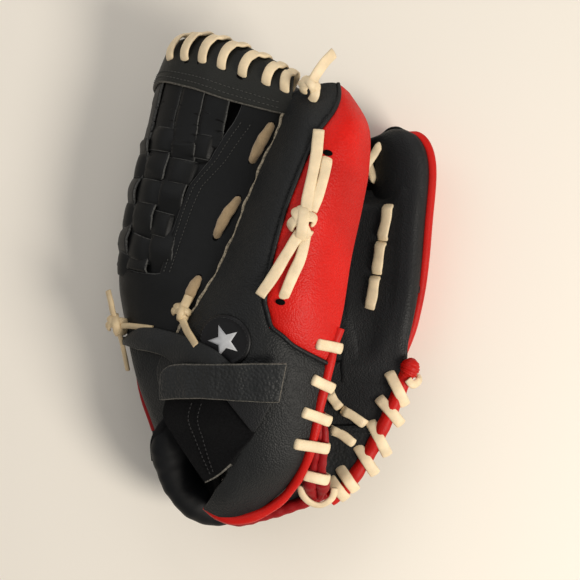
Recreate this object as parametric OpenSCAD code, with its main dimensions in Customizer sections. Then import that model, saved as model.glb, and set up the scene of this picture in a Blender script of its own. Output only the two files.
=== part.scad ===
// Youth baseball glove for a right-handed thrower, lying closed on its finger backs.
// Units are millimetres. +Y runs from the wrist to the fingertips, +Z is up, and the
// origin is the middle of the base of the whole glove.

/* [Leather] */
// Thickness of the outer leather
leather_t = 2.4; // [1.6:0.1:2.8]
// Thickness of the inner lining
lining_t = 1.2; // [0.8:0.1:1.6]
// Radius of the piping between two panels
piping_r = 1.1; // [0.8:0.1:1.3]
// Radius of the rolled edge binding
binding_r = 3.6; // [3:0.1:4]

/* [Laces] */
// Width of a leather lace
lace_w = 6; // [4.5:0.5:6.5]
// Thickness of a leather lace
lace_t = 1.8; // [1.2:0.1:2]

/* [Fingers] */
// Half of the width of one finger stall
finger_half = 17.2; // [16:0.2:17.4]
// Height of the seam that joins a finger's front and back
seam_z = 20; // [18:1:22]
// Height of a finger front above its seam
finger_crown = 13; // [10:1:14]
// How much higher the little finger's outer seam lies
pinky_tilt = 20; // [16:1:20]

/* [Web] */
// Number of cross strips in the web
cross_strips = 6; // [5:1:7]

/* [Wrist strap] */
// Width of the hook tab
tab_w = 18; // [15:1:18]

/* [Hidden] */

// Moves the drawing coordinates so that the glove's base is centred on the origin.
base_shift = [11.05, -3.52, 0];
charcoal = [0.13, 0.14, 0.15];
black = [0.05, 0.05, 0.055];
red = [0.78, 0.07, 0.04];
dark_red = [0.45, 0.03, 0.04];
cream = [0.86, 0.78, 0.64];
tan = [0.66, 0.53, 0.36];
gap = 0.5;

// ---- Curves and nets -------------------------------------------------------------------

function unit(v) = v / norm(v);
function mix(a, b, t) = a + (b - a) * t;
function smooth(t) = let (c = min(max(t, 0), 1)) c * c * (3 - 2 * c);

function catmull(a, b, c, d, t) =
    0.5 * (2 * b + (c - a) * t + (2 * a - 5 * b + 4 * c - d) * t * t
        + (3 * b - a - 3 * c + d) * t * t * t);

// Point at the share s, from 0 to 1, along the smooth curve through the points p.
function along(p, s) =
    let (n = len(p) - 1, q = min(max(s, 0), 1) * n, i = min(floor(q), n - 1))
    catmull(p[max(i - 1, 0)], p[i], p[i + 1], p[min(i + 2, n)], q - i);

function spline(p, n) = [for (k = [0 : n]) along(p, k / n)];

// A net is a list of rows of control points; u runs along a row and v from row to row.
function net_at(net, u, v) = along([for (row = net) along(row, u)], v);

function net_normal(net, u, v) =
    let (
        e = 0.01,
        du = net_at(net, min(u + e, 1), v) - net_at(net, max(u - e, 0), v),
        dv = net_at(net, u, min(v + e, 1)) - net_at(net, u, max(v - e, 0))
    )
    unit(cross(du, dv));

// Point at the height h over the net's outer side. way is 1 where that side faces along
// cross(du, dv), and -1 where it faces the other way.
function over(net, way, u, v, h) = net_at(net, u, v) + way * h * net_normal(net, u, v);

function net_grid(net, way, h, us, vs) = [for (v = vs) [for (u = us) over(net, way, u, v, h)]];

// Finds the [u, v] of the net above the place [x, y].
function locate(net, x, y, uv = [0.5, 0.5], turns = 9) =
    turns == 0 ? uv :
    let (
        e = 0.004,
        u = uv[0],
        v = uv[1],
        p = net_at(net, u, v),
        a = (net_at(net, min(u + e, 1), v) - net_at(net, max(u - e, 0), v))
            / (min(u + e, 1) - max(u - e, 0)),
        b = (net_at(net, u, min(v + e, 1)) - net_at(net, u, max(v - e, 0)))
            / (min(v + e, 1) - max(v - e, 0)),
        det = a.x * b.y - a.y * b.x,
        dx = x - p.x,
        dy = y - p.y,
        du = (dx * b.y - dy * b.x) / det,
        dv = (a.x * dy - a.y * dx) / det
    )
    locate(net, x, y, [min(max(u + 0.8 * du, 0), 1), min(max(v + 0.8 * dv, 0), 1)], turns - 1);

function lift(net, way, x, y, h) =
    let (uv = locate(net, x, y)) over(net, way, uv[0], uv[1], h);

function lift_path(net, way, pts, n, h) =
    [for (p = spline(pts, n)) lift(net, way, p.x, p.y, h)];

// ---- Solids ----------------------------------------------------------------------------

// Closed sheet: the grid g is its outer side and it is t thick towards the inner side.
// keep(i, j) says which cells of the grid are there.
module sheet(g, t, way = 1, keep = function (i, j) true) {
    rows = len(g);
    cols = len(g[0]);
    total = rows * cols;
    function at(i, j) = g[min(max(i, 0), rows - 1)][min(max(j, 0), cols - 1)];
    function out(i, j) =
        unit(cross(at(i, j + 1) - at(i, j - 1), at(i + 1, j) - at(i - 1, j))) * way;
    function id(i, j) = i * cols + j;
    function has(i, j) =
        i >= 0 && j >= 0 && i < rows - 1 && j < cols - 1 ? keep(i, j) : false;
    function turned(f) = way > 0 ? f : [f[2], f[1], f[0]];
    function wall(a, b) = [turned([a, b, b + total]), turned([a, b + total, a + total])];
    pts = concat(
        [for (i = [0 : rows - 1]) for (j = [0 : cols - 1]) g[i][j]],
        [for (i = [0 : rows - 1]) for (j = [0 : cols - 1]) g[i][j] - t * out(i, j)]
    );
    faces = [
        for (i = [0 : rows - 2])
            for (j = [0 : cols - 2])
                if (keep(i, j))
                    let (a = id(i, j), b = id(i, j + 1), c = id(i + 1, j + 1), d = id(i + 1, j))
                    each concat(
                        [turned([a, d, c]), turned([a, c, b])],
                        [turned([a + total, c + total, d + total])],
                        [turned([a + total, b + total, c + total])],
                        has(i - 1, j) ? [] : wall(a, b),
                        has(i, j - 1) ? [] : wall(d, a),
                        has(i + 1, j) ? [] : wall(c, d),
                        has(i, j + 1) ? [] : wall(b, c)
                    )
    ];
    polyhedron(points = pts, faces = faces);
}

// Solid swept along a path. The profile is a list of [sideways, upwards] points, and up is
// one direction or a list with one for each point of the path.
module sweep(path, profile, up = [0, 0, 1], ring = false, size = function (s) 1) {
    n = len(path);
    m = len(profile);
    last = n - 1;
    function step(i) =
        ring ? path[(i + 1) % n] - path[(i + n - 1) % n]
             : path[min(i + 1, last)] - path[max(i - 1, 0)];
    pts = [
        for (i = [0 : last])
            let (
                t = unit(step(i)),
                hint = is_list(up[0]) ? up[i] : up,
                s = unit(cross(t, hint)),
                h = cross(s, t),
                k = size(i / last)
            )
            for (q = profile) path[i] + k * (q[0] * s + q[1] * h)
    ];
    quads = [
        for (i = [0 : (ring ? last : last - 1)])
            for (k = [0 : m - 1])
                let (
                    a = i * m + k,
                    b = i * m + (k + 1) % m,
                    c = ((i + 1) % n) * m + (k + 1) % m,
                    d = ((i + 1) % n) * m + k
                )
                each [[a, b, c], [a, c, d]]
    ];
    start = [for (k = [1 : m - 2]) [0, k + 1, k]];
    end = [for (k = [1 : m - 2]) [last * m, last * m + k, last * m + k + 1]];
    polyhedron(points = pts, faces = ring ? quads : concat(quads, start, end));
}

function round_profile(r, n = 8) = [for (k = [0 : n - 1]) r * [cos(360 * k / n), sin(360 * k / n)]];
function oval_profile(a, b, n = 12) =
    [for (k = [0 : n - 1]) [a * cos(360 * k / n), b * sin(360 * k / n)]];
function flat_profile(w, t) = [[-w / 2, -t / 2], [w / 2, -t / 2], [w / 2, t / 2], [-w / 2, t / 2]];
lace = flat_profile(lace_w, lace_t);

// Lace loop round a binding: an oval of half-sizes a along the direction out and b across it.
module wrap(centre, axis, out, a, b, grow = 0, w = lace_w) {
    e1 = unit(out - axis * (out * axis) / (axis * axis));
    e2 = unit(cross(axis, e1));
    steps = 14;
    path = [
        for (k = [0 : steps - 1])
            let (q = 360 * k / steps) centre + a * cos(q) * e1 + b * sin(q) * e2
    ];
    ups = [for (p = path) unit(p - centre)];
    sweep(path, flat_profile(w + grow, lace_t + grow), ups, ring = true);
}

// Cuts the second child out of the first one, and leaves one plain mesh.
module pierced() resize([0, 0, 0]) difference() {
    children(0);
    children(1);
}
hole_play = 0.6;

// Smooth egg-shaped solid, used for knots.
module knot(centre, r, turn = 0) {
    rows = 6;
    turns = 10;
    ring = [
        for (i = [0 : rows])
            let (t = mix(12, 168, i / rows))
            for (k = [0 : turns - 1])
                let (q = 360 * k / turns)
                [r.x * sin(t) * cos(q), r.y * sin(t) * sin(q), r.z * cos(t)]
    ];
    sides = [
        for (i = [0 : rows - 1])
            for (k = [0 : turns - 1])
                let (
                    a = i * turns + k,
                    b = i * turns + (k + 1) % turns,
                    c = (i + 1) * turns + (k + 1) % turns,
                    d = (i + 1) * turns + k
                )
                each [[a, b, c], [a, c, d]]
    ];
    top = [for (k = [1 : turns - 2]) [0, k + 1, k]];
    base = [for (k = [1 : turns - 2]) [rows * turns, rows * turns + k, rows * turns + k + 1]];
    translate(centre)
        rotate([0, 0, turn])
            polyhedron(points = ring, faces = concat(sides, top, base));
}

// ---- Thumb side: the net of its back, from the tip (first row) to the wrist -------------

thumb_net = [
    [[-3, 103, 84], [6, 108, 87], [16, 111, 88], [24, 112, 87], [30, 110, 83]],
    [[-4, 91, 83], [6, 89, 97], [15, 88, 100], [30, 87, 97], [41, 87, 83]],
    [[-15, 67, 80], [-4, 65, 98], [6, 64, 104], [25, 64, 101], [44, 67, 82]],
    [[-24, 45, 79], [-12, 44, 98], [-2, 43, 105], [18, 43, 103], [40, 45, 82]],
    [[-35, 18, 79], [-21, 18, 98], [-9, 18, 105], [12, 18, 103], [34, 17, 83]],
    [[-48, -5, 79], [-29, -5, 96], [-13, -5, 104], [8, -7, 102], [31, -12, 85]],
    [[-60, -22, 77], [-36, -22, 94], [-11, -20, 102], [2, -30, 98], [21, -33, 86]],
    [[-73, -44, 68], [-50, -46, 86], [-24, -46, 97], [-4, -50, 96], [14, -53, 84]],
    [[-64, -66, 69], [-47, -69, 84], [-22, -71, 93], [-5, -72, 91], [8.5, -70, 81]],
    [[-34, -92, 84], [-26, -92, 87], [-15, -92, 88], [-5, -91, 85], [5, -89, 77]],
    [[-41, -111, 75], [-33, -112, 78], [-23, -112, 77], [-12, -110, 74], [-3, -106, 70]],
    [[-48, -120, 65], [-42, -122, 66], [-36, -123, 66], [-29, -122, 65], [-22, -119, 64]]
];
thumb_rows = 11;
leaf_row = 6;
leaf_u = 0.5;
thumb_us = [for (k = [0 : 10]) k / 10];
thumb_vs = [for (k = [0 : 22]) k / 22];
leaf_cells = 2 * leaf_row;

function on_thumb(x, y, h) = lift(thumb_net, -1, x, y, h);
function thumb_path(pts, n, h) = lift_path(thumb_net, -1, pts, n, h);
function thumb_normal(x, y) =
    let (uv = locate(thumb_net, x, y)) -net_normal(thumb_net, uv[0], uv[1]);

// Patch that lies on the thumb side at the height h, between a left and a right edge.
module thumb_patch(left, right, h, t, nu = 6, nv = 8) {
    g = [
        for (k = [0 : nv])
            let (a = along(left, k / nv), b = along(right, k / nv))
            [for (m = [0 : nu]) let (p = mix(a, b, m / nu)) on_thumb(p.x, p.y, h + t)]
    ];
    sheet(g, t, way = -1);
}

module thumb_back_panel() color(charcoal) pierced() {
    sheet(net_grid(thumb_net, -1, 0, thumb_us, thumb_vs), leather_t, -1,
        function (i, j) i >= leaf_cells || j < 5);
    thumb_wrap_loops(hole_play);
}

module thumb_outer_panel() color(red) pierced() {
    sheet(net_grid(thumb_net, -1, 0, thumb_us, thumb_vs), leather_t, -1,
        function (i, j) i < leaf_cells && j >= 5);
    thumb_wrap_loops(hole_play);
}

module thumb_piping() color(black) {
    side = [for (k = [0 : 20]) over(thumb_net, -1, leaf_u, (leaf_row - 0.2) / thumb_rows * k / 20,
        piping_r + 0.1)];
    foot = [for (k = [1 : 9]) over(thumb_net, -1, mix(leaf_u, 0.84, k / 9), leaf_row / thumb_rows,
        piping_r + 0.1)];
    sweep(concat(side, foot), round_profile(piping_r, 6));
}

// Ball side of the thumb, which faces down into the pocket.
thumb_front_net = [
    [[2, 99, 77], [14, 106, 77], [26, 105, 80]],
    [[-1, 90, 72], [17, 88, 72], [37, 86, 79]],
    [[-12, 66, 70], [13, 64, 69], [40, 66, 78]],
    [[-22, 44, 69], [7, 44, 67], [36, 45, 78]],
    [[-33, 17, 69], [-2, 17, 66], [30, 16, 79]],
    [[-45, -6, 69], [-9, -8, 66], [27, -12, 80]],
    [[-52, -24, 66], [-14, -28, 66], [17, -33, 80]],
    [[-44, -46, 64], [-14, -50, 66], [10, -53, 78]],
    [[-30, -66, 63], [-11, -70, 65], [5, -70, 76]],
    [[-14, -84, 62], [-6, -86, 64], [1, -87, 72]]
];

module thumb_front_leather() color(black)
    sheet(net_grid(thumb_front_net, 1, 0, [for (k = [0 : 6]) k / 6], [for (k = [0 : 14]) k / 14]),
        leather_t, 1);

thumb_pad_t = 4.8;

// Padding on the inner side of the thumb's ball-side leather, down to the heel.
module thumb_pad() color([0.75, 0.72, 0.66]) {
    us = [0.3, 0.5, 0.7, 0.86];
    vs = [for (k = [0 : 6]) mix(0.5, 0.92, k / 6)];
    sheet(net_grid(thumb_front_net, -1, leather_t + gap + thumb_pad_t, us, vs), thumb_pad_t, -1);
}

module thumb_lining() color(black)
    sheet(net_grid(thumb_net, -1, -leather_t - gap, [for (k = [0 : 6]) mix(0.12, 0.9, k / 6)],
        [for (k = [0 : 10]) mix(0.06, 0.78, k / 10)]), lining_t, -1);

// Rolled edge of the thumb's heel, from the leaf's foot down to the point of the heel.
thumb_binding_pts = [
    [27.4, -28, 84.5], [24.8, -37, 85], [21.6, -47, 85], [18.6, -58, 84], [15.6, -70, 82],
    [14, -84, 79], [13, -96, 74.5], [14, -106, 68], [16, -112, 60], [19, -115, 55]
];

module thumb_binding() color(red)
    sweep(spline(thumb_binding_pts, 22), round_profile(binding_r), [1, 0, 0.4]);

// One wrap round the binding: the share along it, half-length, and lean of its plane.
thumb_wraps = [
    [0.06, 6.6, 0.1], [0.24, 7, -0.15], [0.42, 7.6, -0.2], [0.57, 8, -0.1], [0.75, 7, 0], [0.93, 6, 0.2]
];
wrap_half = binding_r + 0.9 + lace_t / 2;

// grow widens the wraps to the size of the holes that they pass through.
module thumb_wrap_loops(grow = 0)
    for (w = thumb_wraps) {
        p = along(thumb_binding_pts, w[0]);
        t = along(thumb_binding_pts, w[0] + 0.04) - along(thumb_binding_pts, w[0] - 0.04);
        wrap(p - [w[1] - wrap_half, 0, 0], unit(t) + [w[2], 0, 0], [1, 0, -0.15], w[1], wrap_half,
            grow);
    }

module thumb_heel_lace() color(cream) thumb_wrap_loops();

wrist_binding_pts = [
    [-49, -124.5, 61], [-38, -128, 61], [-27, -127.5, 61], [-16, -123, 64], [-7.5, -117, 67],
    [-2, -111, 69.5], [0.6, -107, 70.6]
];

module wrist_binding() color(red)
    sweep(spline(wrist_binding_pts, 16), oval_profile(3.2, 2.8, 8));

// ---- Laces and trim on the thumb side ----------------------------------------------------

loop_strips = [
    [[15, 83], [13, 66], [9, 48], [8, 41]],
    [[18, 67], [15.5, 55], [14, 46]],
    [[4, 26], [-2, 18], [-8, 8], [-15, -3]],
    [[9, 25], [5, 16], [0, 5], [-4, -5]]
];

module thumb_loop_lace() color(cream) {
    for (k = [0 : 3])
        sweep(thumb_path(loop_strips[k], 8, lace_t / 2 + 2.6), lace, thumb_normal(5, 30));
    knot(on_thumb(7, 34, 5), [6.5, 8, 3.4], -20);
}

emblem_place = [-34, -27];
emblem_r = 13.5;

// Spreads a square from -1 to 1 over a disc of radius 1.
function disc(a, b) = [a * sqrt(1 - b * b / 2), b * sqrt(1 - a * a / 2)];

// Round patch, which the star is drawn on.
module emblem_patch() color(black) {
    cells = 8;
    g = [
        for (i = [0 : cells])
            [for (j = [0 : cells])
                let (q = emblem_r * disc(2 * j / cells - 1, 1 - 2 * i / cells) + emblem_place)
                on_thumb(q.x, q.y, 1.3)]
    ];
    sheet(g, 1, -1);
}

web_net = [
    [[4, 116, 84], [-6, 122, 82], [-28, 134, 76], [-48, 141, 66], [-63, 139, 52], [-66, 131, 36],
        [-60, 122, 26], [-52, 119, 22]],
    [[2, 96, 78], [-9, 97, 80], [-34, 104, 76], [-55, 112, 67], [-72, 117, 51], [-74, 111, 36],
        [-67, 102, 25], [-58, 99, 22]],
    [[-2, 82, 76], [-14, 82, 77], [-40, 88, 73], [-61, 94, 65], [-77, 97, 50], [-79, 92, 35],
        [-72, 85, 24], [-61, 82, 21]],
    [[-10, 65, 75], [-23, 64, 75], [-47, 68, 71], [-68, 72, 63], [-83, 74, 50], [-84, 70, 35],
        [-76, 66, 24], [-62, 62, 21]],
    [[-20, 44, 75], [-33, 43, 74], [-56, 46, 69], [-75, 49, 62], [-89, 51, 49], [-90, 48, 34],
        [-80, 44, 24], [-63, 40, 21]],
    [[-31, 17, 75], [-44, 15, 74], [-64, 17, 69], [-81, 20, 61], [-94, 24, 48], [-94, 22, 33],
        [-83, 19, 23], [-63, 17, 21]],
    [[-43, -5, 75], [-55, -8, 74], [-70, -5, 68], [-84, -3, 60], [-95, 2, 48], [-95, 1, 33],
        [-83, 0, 23], [-62, 0, 21]],
    [[-54, -22, 73], [-64, -24, 72], [-74, -22, 67], [-84, -20, 60], [-92, -18, 48],
        [-92, -18, 33], [-80, -18, 22], [-60, -18, 21]]
];
rail_v = 1 / 7;

function on_web(u, v, h) = over(web_net, 1, u, v, h);

// Base panel of the web beside the thumb, under the thumb's raw edge.
module web_thumb_panel() color(charcoal)
    sheet([
        for (k = [0 : 12])
            let (v = mix(0.17, 0.93, k / 12))
            [for (m = [0 : 4]) on_web(mix(0.02, mix(0.16, 0.3, k / 12), m / 4), v, 0)]
    ], leather_t, 1);

module web_index_panel() color(charcoal)
    sheet([
        for (k = [0 : 12])
            let (v = mix(0.03, 0.97, k / 12))
            [for (m = [0 : 4]) on_web(mix(0.8, 0.985, m / 4), v, 0)]
    ], leather_t, 1);

// Woven part of the web, as one sheet whose two faces follow the strips over and under.
module web_weave() color(charcoal) {
    rows = 2 * cross_strips + 2;
    g = [
        for (i = [0 : rows])
            let (v = mix(0.16, 0.97, i / rows))
            [for (j = [0 : 12])
                let (u = mix(mix(0.2, 0.34, i / rows), 0.77, j / 12))
                on_web(u, v, 0.8 + 0.7 * sin(90 * i) * sin(90 * j))]
    ];
    sheet(g, 3.2, 1);
}

module web_rail() color(charcoal) pierced() {
    sheet(net_grid(web_net, 1, 4.2, [for (k = [0 : 20]) mix(0.1, 0.97, k / 20)],
        [for (k = [0 : 3]) mix(0, rail_v * 0.98, k / 3)]), 3.2, 1);
    rail_loops(hole_play);
}

rail_loop_count = 7;

module rail_loops(grow = 0)
    for (k = [0 : rail_loop_count - 1]) {
        u = mix(0.14, 0.72, k / (rail_loop_count - 1));
        n = net_normal(web_net, u, 0.02);
        top = on_web(u, 0, 2.6);
        low = on_web(u, 0.075, 2.6);
        side = unit(cross(top - low, n));
        wrap(mix(top, low, 0.45), side, top - low, norm(top - low) * 0.62 + 2.4, 4.4, grow, 5);
    }

module rail_lace() color(cream) rail_loops();

module tip_knot() color(cream) {
    knot([10, 113, 96], [5, 5.5, 4.5]);
    sweep(spline([[13, 117, 97], [17, 121, 98], [20.5, 125, 96], [23, 128, 92]], 6), lace);
    sweep(spline([[7, 109.5, 98], [4.5, 106, 95], [2.5, 103, 91]], 4), lace);
}

// Suede stitches that tie the web to the thumb, the ball knot under them and its tail.
web_stitches = [[[-9, 90], [-14, 80], [-20, 70]], [[-27, 50], [-34, 39], [-40, 28]],
    [[-48, 6], [-52, -1], [-56, -9]]];

module web_thumb_lace() color(tan) {
    for (s = web_stitches)
        sweep([for (p = spline(s, 6)) lift(web_net, 1, p.x, p.y, 0.2 + lace_t)],
            flat_profile(5, lace_t), [-0.3, 0, 1]);
    knot([-60, -14, 78], [4, 4, 3.6]);
    sweep([[-58, -18, 82.5], [-55, -23, 88.5], [-52, -28, 91]], round_profile(1.7, 6));
}

// ---- Wrist strap -------------------------------------------------------------------------

module strap_band() color(charcoal)
    thumb_patch([[-71, -35.5], [-62, -39], [-50, -42], [-40, -43.5]],
        [[-68, -24], [-54, -27], [-40, -32], [-31, -39]], 1.8, 1.8, 3, 8);

module strap_loop_panel() color(black)
    thumb_patch([[-62, -60], [-66, -68], [-58, -80], [-47, -95], [-43, -101]],
        [[-12, -60], [-14, -72], [-20, -80], [-28, -89], [-32, -93]], 0.5, 1.8, 7, 8);

module strap_flap() color(charcoal)
    thumb_patch([[-36, -52], [-33, -58], [-28, -64], [-22, -72]],
        [[-7, -52], [-9, -58], [-13, -66], [-19, -73]], 2.8, 1.4, 4, 5);

tab_left = [-70, -51];
tab_right = [-6, -47];

module tab_sheet(from, to, h, t, w) {
    g = [
        for (k = [0 : 3])
            [for (m = [0 : 10])
                let (p = mix(tab_left, tab_right, mix(from, to, m / 10)) + [0, w * (0.5 - k / 3)])
                on_thumb(p.x, p.y, h + t) + [0, 0, 1.2 * mix(from, to, m / 10)]]
    ];
    sheet(g, t, -1);
}

module strap_tab() color(charcoal) tab_sheet(0, 1, 5.9, 2, tab_w);
module tab_hook_pad() color(black) tab_sheet(0.3, 0.94, 4.6, 0.9, tab_w - 3);

// ---- Ball side of the fingers and the palm -----------------------------------------------

// Centre line of each finger's front, from the palm to the tip: index, middle, ring, little.
finger_mid = [
    [[-31, -40], [-44, 0], [-45, 40], [-42, 80], [-38, 114]],
    [[-2.5, -40], [-9, 0], [-9, 40], [-6, 80], [-2, 122]],
    [[26, -40], [26, 0], [27, 40], [30, 80], [31, 110]],
    [[54.5, -40], [61, 0], [64, 40], [65.85, 72], [61, 94]]
];
finger_widths = [0.73, 0.91, 0.99, 1, 0.96];
tip_start = 0.86;

function finger_centre(f, v) = along(finger_mid[f], v);
function finger_half_at(v) = along(finger_widths, v) * finger_half;
function left_seam(f) = f == 3 ? seam_z + 4 : seam_z;
function right_seam(f) = f == 3 ? seam_z + pinky_tilt : f == 2 ? seam_z + 4 : seam_z;

// How full a finger is at v: 1 along its length, falling like a ball towards the tip.
function fullness(v) =
    let (q = max(v - tip_start, 0) / (1 - tip_start)) sqrt(1 - 0.97 * q * q);

// Place on a finger's seam plane: s from -1 (left seam) to 1, v from the palm to the tip.
function finger_plan(f, s, v) =
    let (c = finger_centre(f, v), w = finger_half_at(v), full = fullness(v))
    [c.x + s * w * mix(0.42, 1, full), c.y - 7 * s * s * (1 - full)];

function palm_rise(v) = 15 * (1 - smooth(v * 2.2));

function front_z(f, s, v) =
    mix(left_seam(f), right_seam(f), (s + 1) / 2) + palm_rise(v) * (f == 3 ? 0.4 : 0.9)
    + finger_crown * sqrt(max(1 - pow(abs(s), 2.4), 0)) * fullness(v);

function front_point(f, s, v) =
    let (p = finger_plan(f, s, v)) [p.x, p.y, front_z(f, s, v)];

function back_point(f, a, v) =
    let (
        z0 = mix(left_seam(f), right_seam(f), (1 - cos(a)) / 2),
        c = -cos(a),
        e = 0.62,
        s = sign(c) * pow(abs(c), e),
        p = finger_plan(f, s, v),
        floor_z = mix(z0 - 3, 0, fullness(v))
    )
    [p.x, p.y, mix(z0 - 0.7, floor_z, min(1.12 * pow(sin(a), e), 1))];

finger_us = [-1, -0.75, -0.4, 0, 0.4, 0.75, 1];
finger_vs = [0, 0.1, 0.2, 0.32, 0.44, 0.56, 0.68, 0.78, 0.86, 0.92, 0.96, 0.985, 1];

// Left (fold) and right edges of the palm, by row from the heel up to the fingers.
palm_rows = [
    [[14, -114, 47], [20, -115, 46], [26, -114, 45]],
    [[4, -100, 47], [22, -102, 43], [37, -103, 46]],
    [[-12, -80, 46], [20, -80, 42], [52, -79, 47]],
    [[-30, -60, 45], [18, -60, 42], [61, -60, 49]],
    [[-43.5, -41.5, 45], [15, -41.5, 44], [67, -41.5, 49]]
];

module palm_leather() color(black) {
    pierced() {
        sheet(net_grid(palm_rows, 1, 0, [for (k = [0 : 8]) k / 8], [for (k = [0 : 8]) k / 8]),
            leather_t, 1);
        pinky_wrap_loops(hole_play);
    }
    for (f = [0 : 3])
        sheet([for (v = finger_vs) [for (s = finger_us) front_point(f, s * 0.985, v)]], leather_t, 1);
}

module finger_back(f)
    sheet([for (v = finger_vs) [for (k = [0 : 8]) back_point(f, 4 + 172 * k / 8, v)]], leather_t, -1);

module index_back() color(charcoal) finger_back(0);
module middle_back() color(charcoal) finger_back(1);
module ring_back() color(charcoal) finger_back(2);
module pinky_back() color(red) finger_back(3);

// Welt along the seams between neighbouring fingers, round each tip.
welt_places = concat(
    [for (v = [0.3 : 0.1 : 0.9]) [-1, v]],
    [[-1, 0.97], [-0.75, 1], [-0.3, 1], [0.3, 1], [0.75, 1], [1, 0.97]],
    [for (k = [0 : 6]) [1, 0.9 - 0.1 * k]]
);
welt_out = 1.03;
welt_drop = 0.3;

module finger_welt() color(black)
    for (f = [0 : 3])
        sweep([
            for (s = welt_places)
                let (
                    p = finger_plan(f, s[0] * welt_out, s[1]),
                    z = mix(left_seam(f), right_seam(f), (s[0] + 1) / 2) - welt_drop
                )
                [p.x, p.y + (abs(s[0]) < 0.8 ? 0.9 : 0), z]
        ], round_profile(0.5, 6));

// Rougher leather along the heel of the palm.
module palm_patch() color(charcoal)
    pierced() {
        sheet(net_grid(palm_rows, 1, 1.5, [for (k = [0 : 4]) mix(0.45, 0.88, k / 4)],
            [for (k = [0 : 5]) mix(0.12, 0.5, k / 5)]), 1, 1);
        pinky_wrap_loops(hole_play);
    }

palm_pad_t = 7;

// Padding under the heel of the palm.
module palm_pad() color([0.75, 0.72, 0.66])
    sheet(net_grid(palm_rows, 1, -leather_t - gap, [for (k = [0 : 4]) mix(0.3, 0.68, k / 4)],
        [for (k = [0 : 6]) mix(0.12, 0.9, k / 6)]), palm_pad_t, 1);

module palm_lining() color(black)
    sheet(net_grid(palm_rows, 1, -leather_t - palm_pad_t - 2 * gap,
        [for (k = [0 : 5]) mix(0.2, 0.66, k / 5)], [for (k = [0 : 6]) mix(0.2, 0.95, k / 6)]),
        lining_t, 1);

// Fold of the palm leather between the thumb side and the finger side.
fold_rows = [
    for (k = [1 : 4])
        let (
            low = palm_rows[k][0],
            high = [low.x + 3, low.y, 60 + 0.5 * k],
            mid = [low.x - 6, low.y, 53]
        )
        [low + [-0.6, 0, 0.4], mid, high]
];

module palm_fold() color(black)
    sheet(net_grid(fold_rows, 1, 0, [for (k = [0 : 6]) k / 6], [for (k = [0 : 6]) k / 6]),
        leather_t, 1);

// Back of the hand, under the palm, and its rise to both edges.
back_rows = [
    [[-85, -42, 44], [-82, -42, 20], [-66, -42, 3], [-30, -42, 1], [10, -42, 1], [50, -42, 5],
        [65, -42, 20], [69, -42, 42]],
    [[-84, -60, 42], [-80, -60, 20], [-60, -60, 4], [-28, -61, 2], [8, -61, 2], [42, -61, 6],
        [57, -61, 20], [63, -60, 41]],
    [[-80, -80, 40], [-76, -80, 20], [-56, -80, 6], [-26, -81, 4], [4, -82, 4], [32, -82, 8],
        [46, -81, 20], [53, -80, 39]],
    [[-77, -98, 34], [-72, -98, 19], [-54, -99, 8], [-28, -100, 6], [-4, -101, 6], [19, -102, 10],
        [31, -102, 20], [38, -102, 37]],
    [[-68, -112, 27], [-62, -113, 17], [-46, -114, 10], [-26, -115, 8], [-8, -116, 8], [9, -116, 11],
        [19, -115, 19], [26, -113, 35]]
];

module hand_back_panel() color(charcoal)
    sheet(net_grid(back_rows, 1, 0, [for (k = [0 : 18]) k / 18], [for (k = [0 : 10]) k / 10]),
        leather_t, 1);

// Soft leather between the hand back and the thumb side, which folds as the glove opens.
gusset_rows = [
    [[-77, -24, 66], [-91, -22, 52], [-92, -22, 38], [-84, -22, 26]],
    [[-76, -40, 65], [-87, -42, 55], [-87, -44, 46], [-86, -44, 45]],
    [[-73, -56, 66], [-84, -58, 55], [-86, -60, 45], [-85, -60, 43.5]],
    [[-68, -66, 66], [-80, -74, 54], [-82, -78, 44], [-81, -78, 42]]
];

module side_gusset() color(charcoal)
    sheet(net_grid(gusset_rows, 1, 0, [for (k = [0 : 6]) k / 6], [for (k = [0 : 5]) k / 5]), 2, 1);

module wrist_rim() color(black)
    sweep(spline([[-84, -82, 43], [-85, -90, 41], [-84, -98, 36]], 6), round_profile(2, 8));

// Padded roll round the wrist opening.
roll_pts = [
    [-77, -84, 47], [-75, -97, 42], [-72, -109, 38], [-67, -120, 34], [-59, -129, 30],
    [-48, -132, 27], [-37, -131, 25], [-27, -128, 24]
];

module wrist_roll() color(black)
    sweep(spline(roll_pts, 16), oval_profile(9, 8, 12), [0.4, 0.4, 1],
        size = function (s) mix(0.55, 1, smooth(s * 4)) * mix(1, 0.75, smooth(s * 3 - 2)));

module heel_binding() color(dark_red)
    sweep(spline([[-24, -134, 34], [-14, -130, 37], [-1, -122, 40], [12, -121, 41]], 12),
        oval_profile(3.4, 3, 8));

// Rolled edge of the palm from the little finger down to the point of the heel.
pinky_binding_pts = [
    [77, -35, 48], [73, -43, 49], [69, -53, 50], [64.5, -64, 50], [59.5, -76, 50], [53, -90, 49],
    [45, -103, 48], [37, -113, 46], [31, -118, 43]
];

module pinky_binding() color(red)
    sweep(spline(pinky_binding_pts, 20), round_profile(binding_r));

pinky_wrap_shares = [0.16, 0.33, 0.5, 0.66, 0.8, 0.92];

module pinky_wrap_loops(grow = 0)
    for (w = pinky_wrap_shares) {
        p = along(pinky_binding_pts, w);
        t = along(pinky_binding_pts, w + 0.03) - along(pinky_binding_pts, w - 0.03);
        wrap(p - [1.2, -0.5, 0], unit(t) + [0.2, 0, 0], [1, -0.4, -0.1], wrap_half + 1.3, wrap_half,
            grow);
    }

module pinky_heel_lace() color(cream) pinky_wrap_loops();

// Laces that lie on the palm between the two edge bindings.
palm_lace_paths = [
    [[23, -59], [27, -65], [31, -69]], [[32, -70], [37, -74], [43, -78]],
    [[21, -79], [28, -83], [34, -87]]
];

module palm_lace() color(cream)
    for (p = palm_lace_paths)
        sweep(lift_path(palm_rows, 1, p, 5, 2 + lace_t / 2), flat_profile(5, lace_t));

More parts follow.
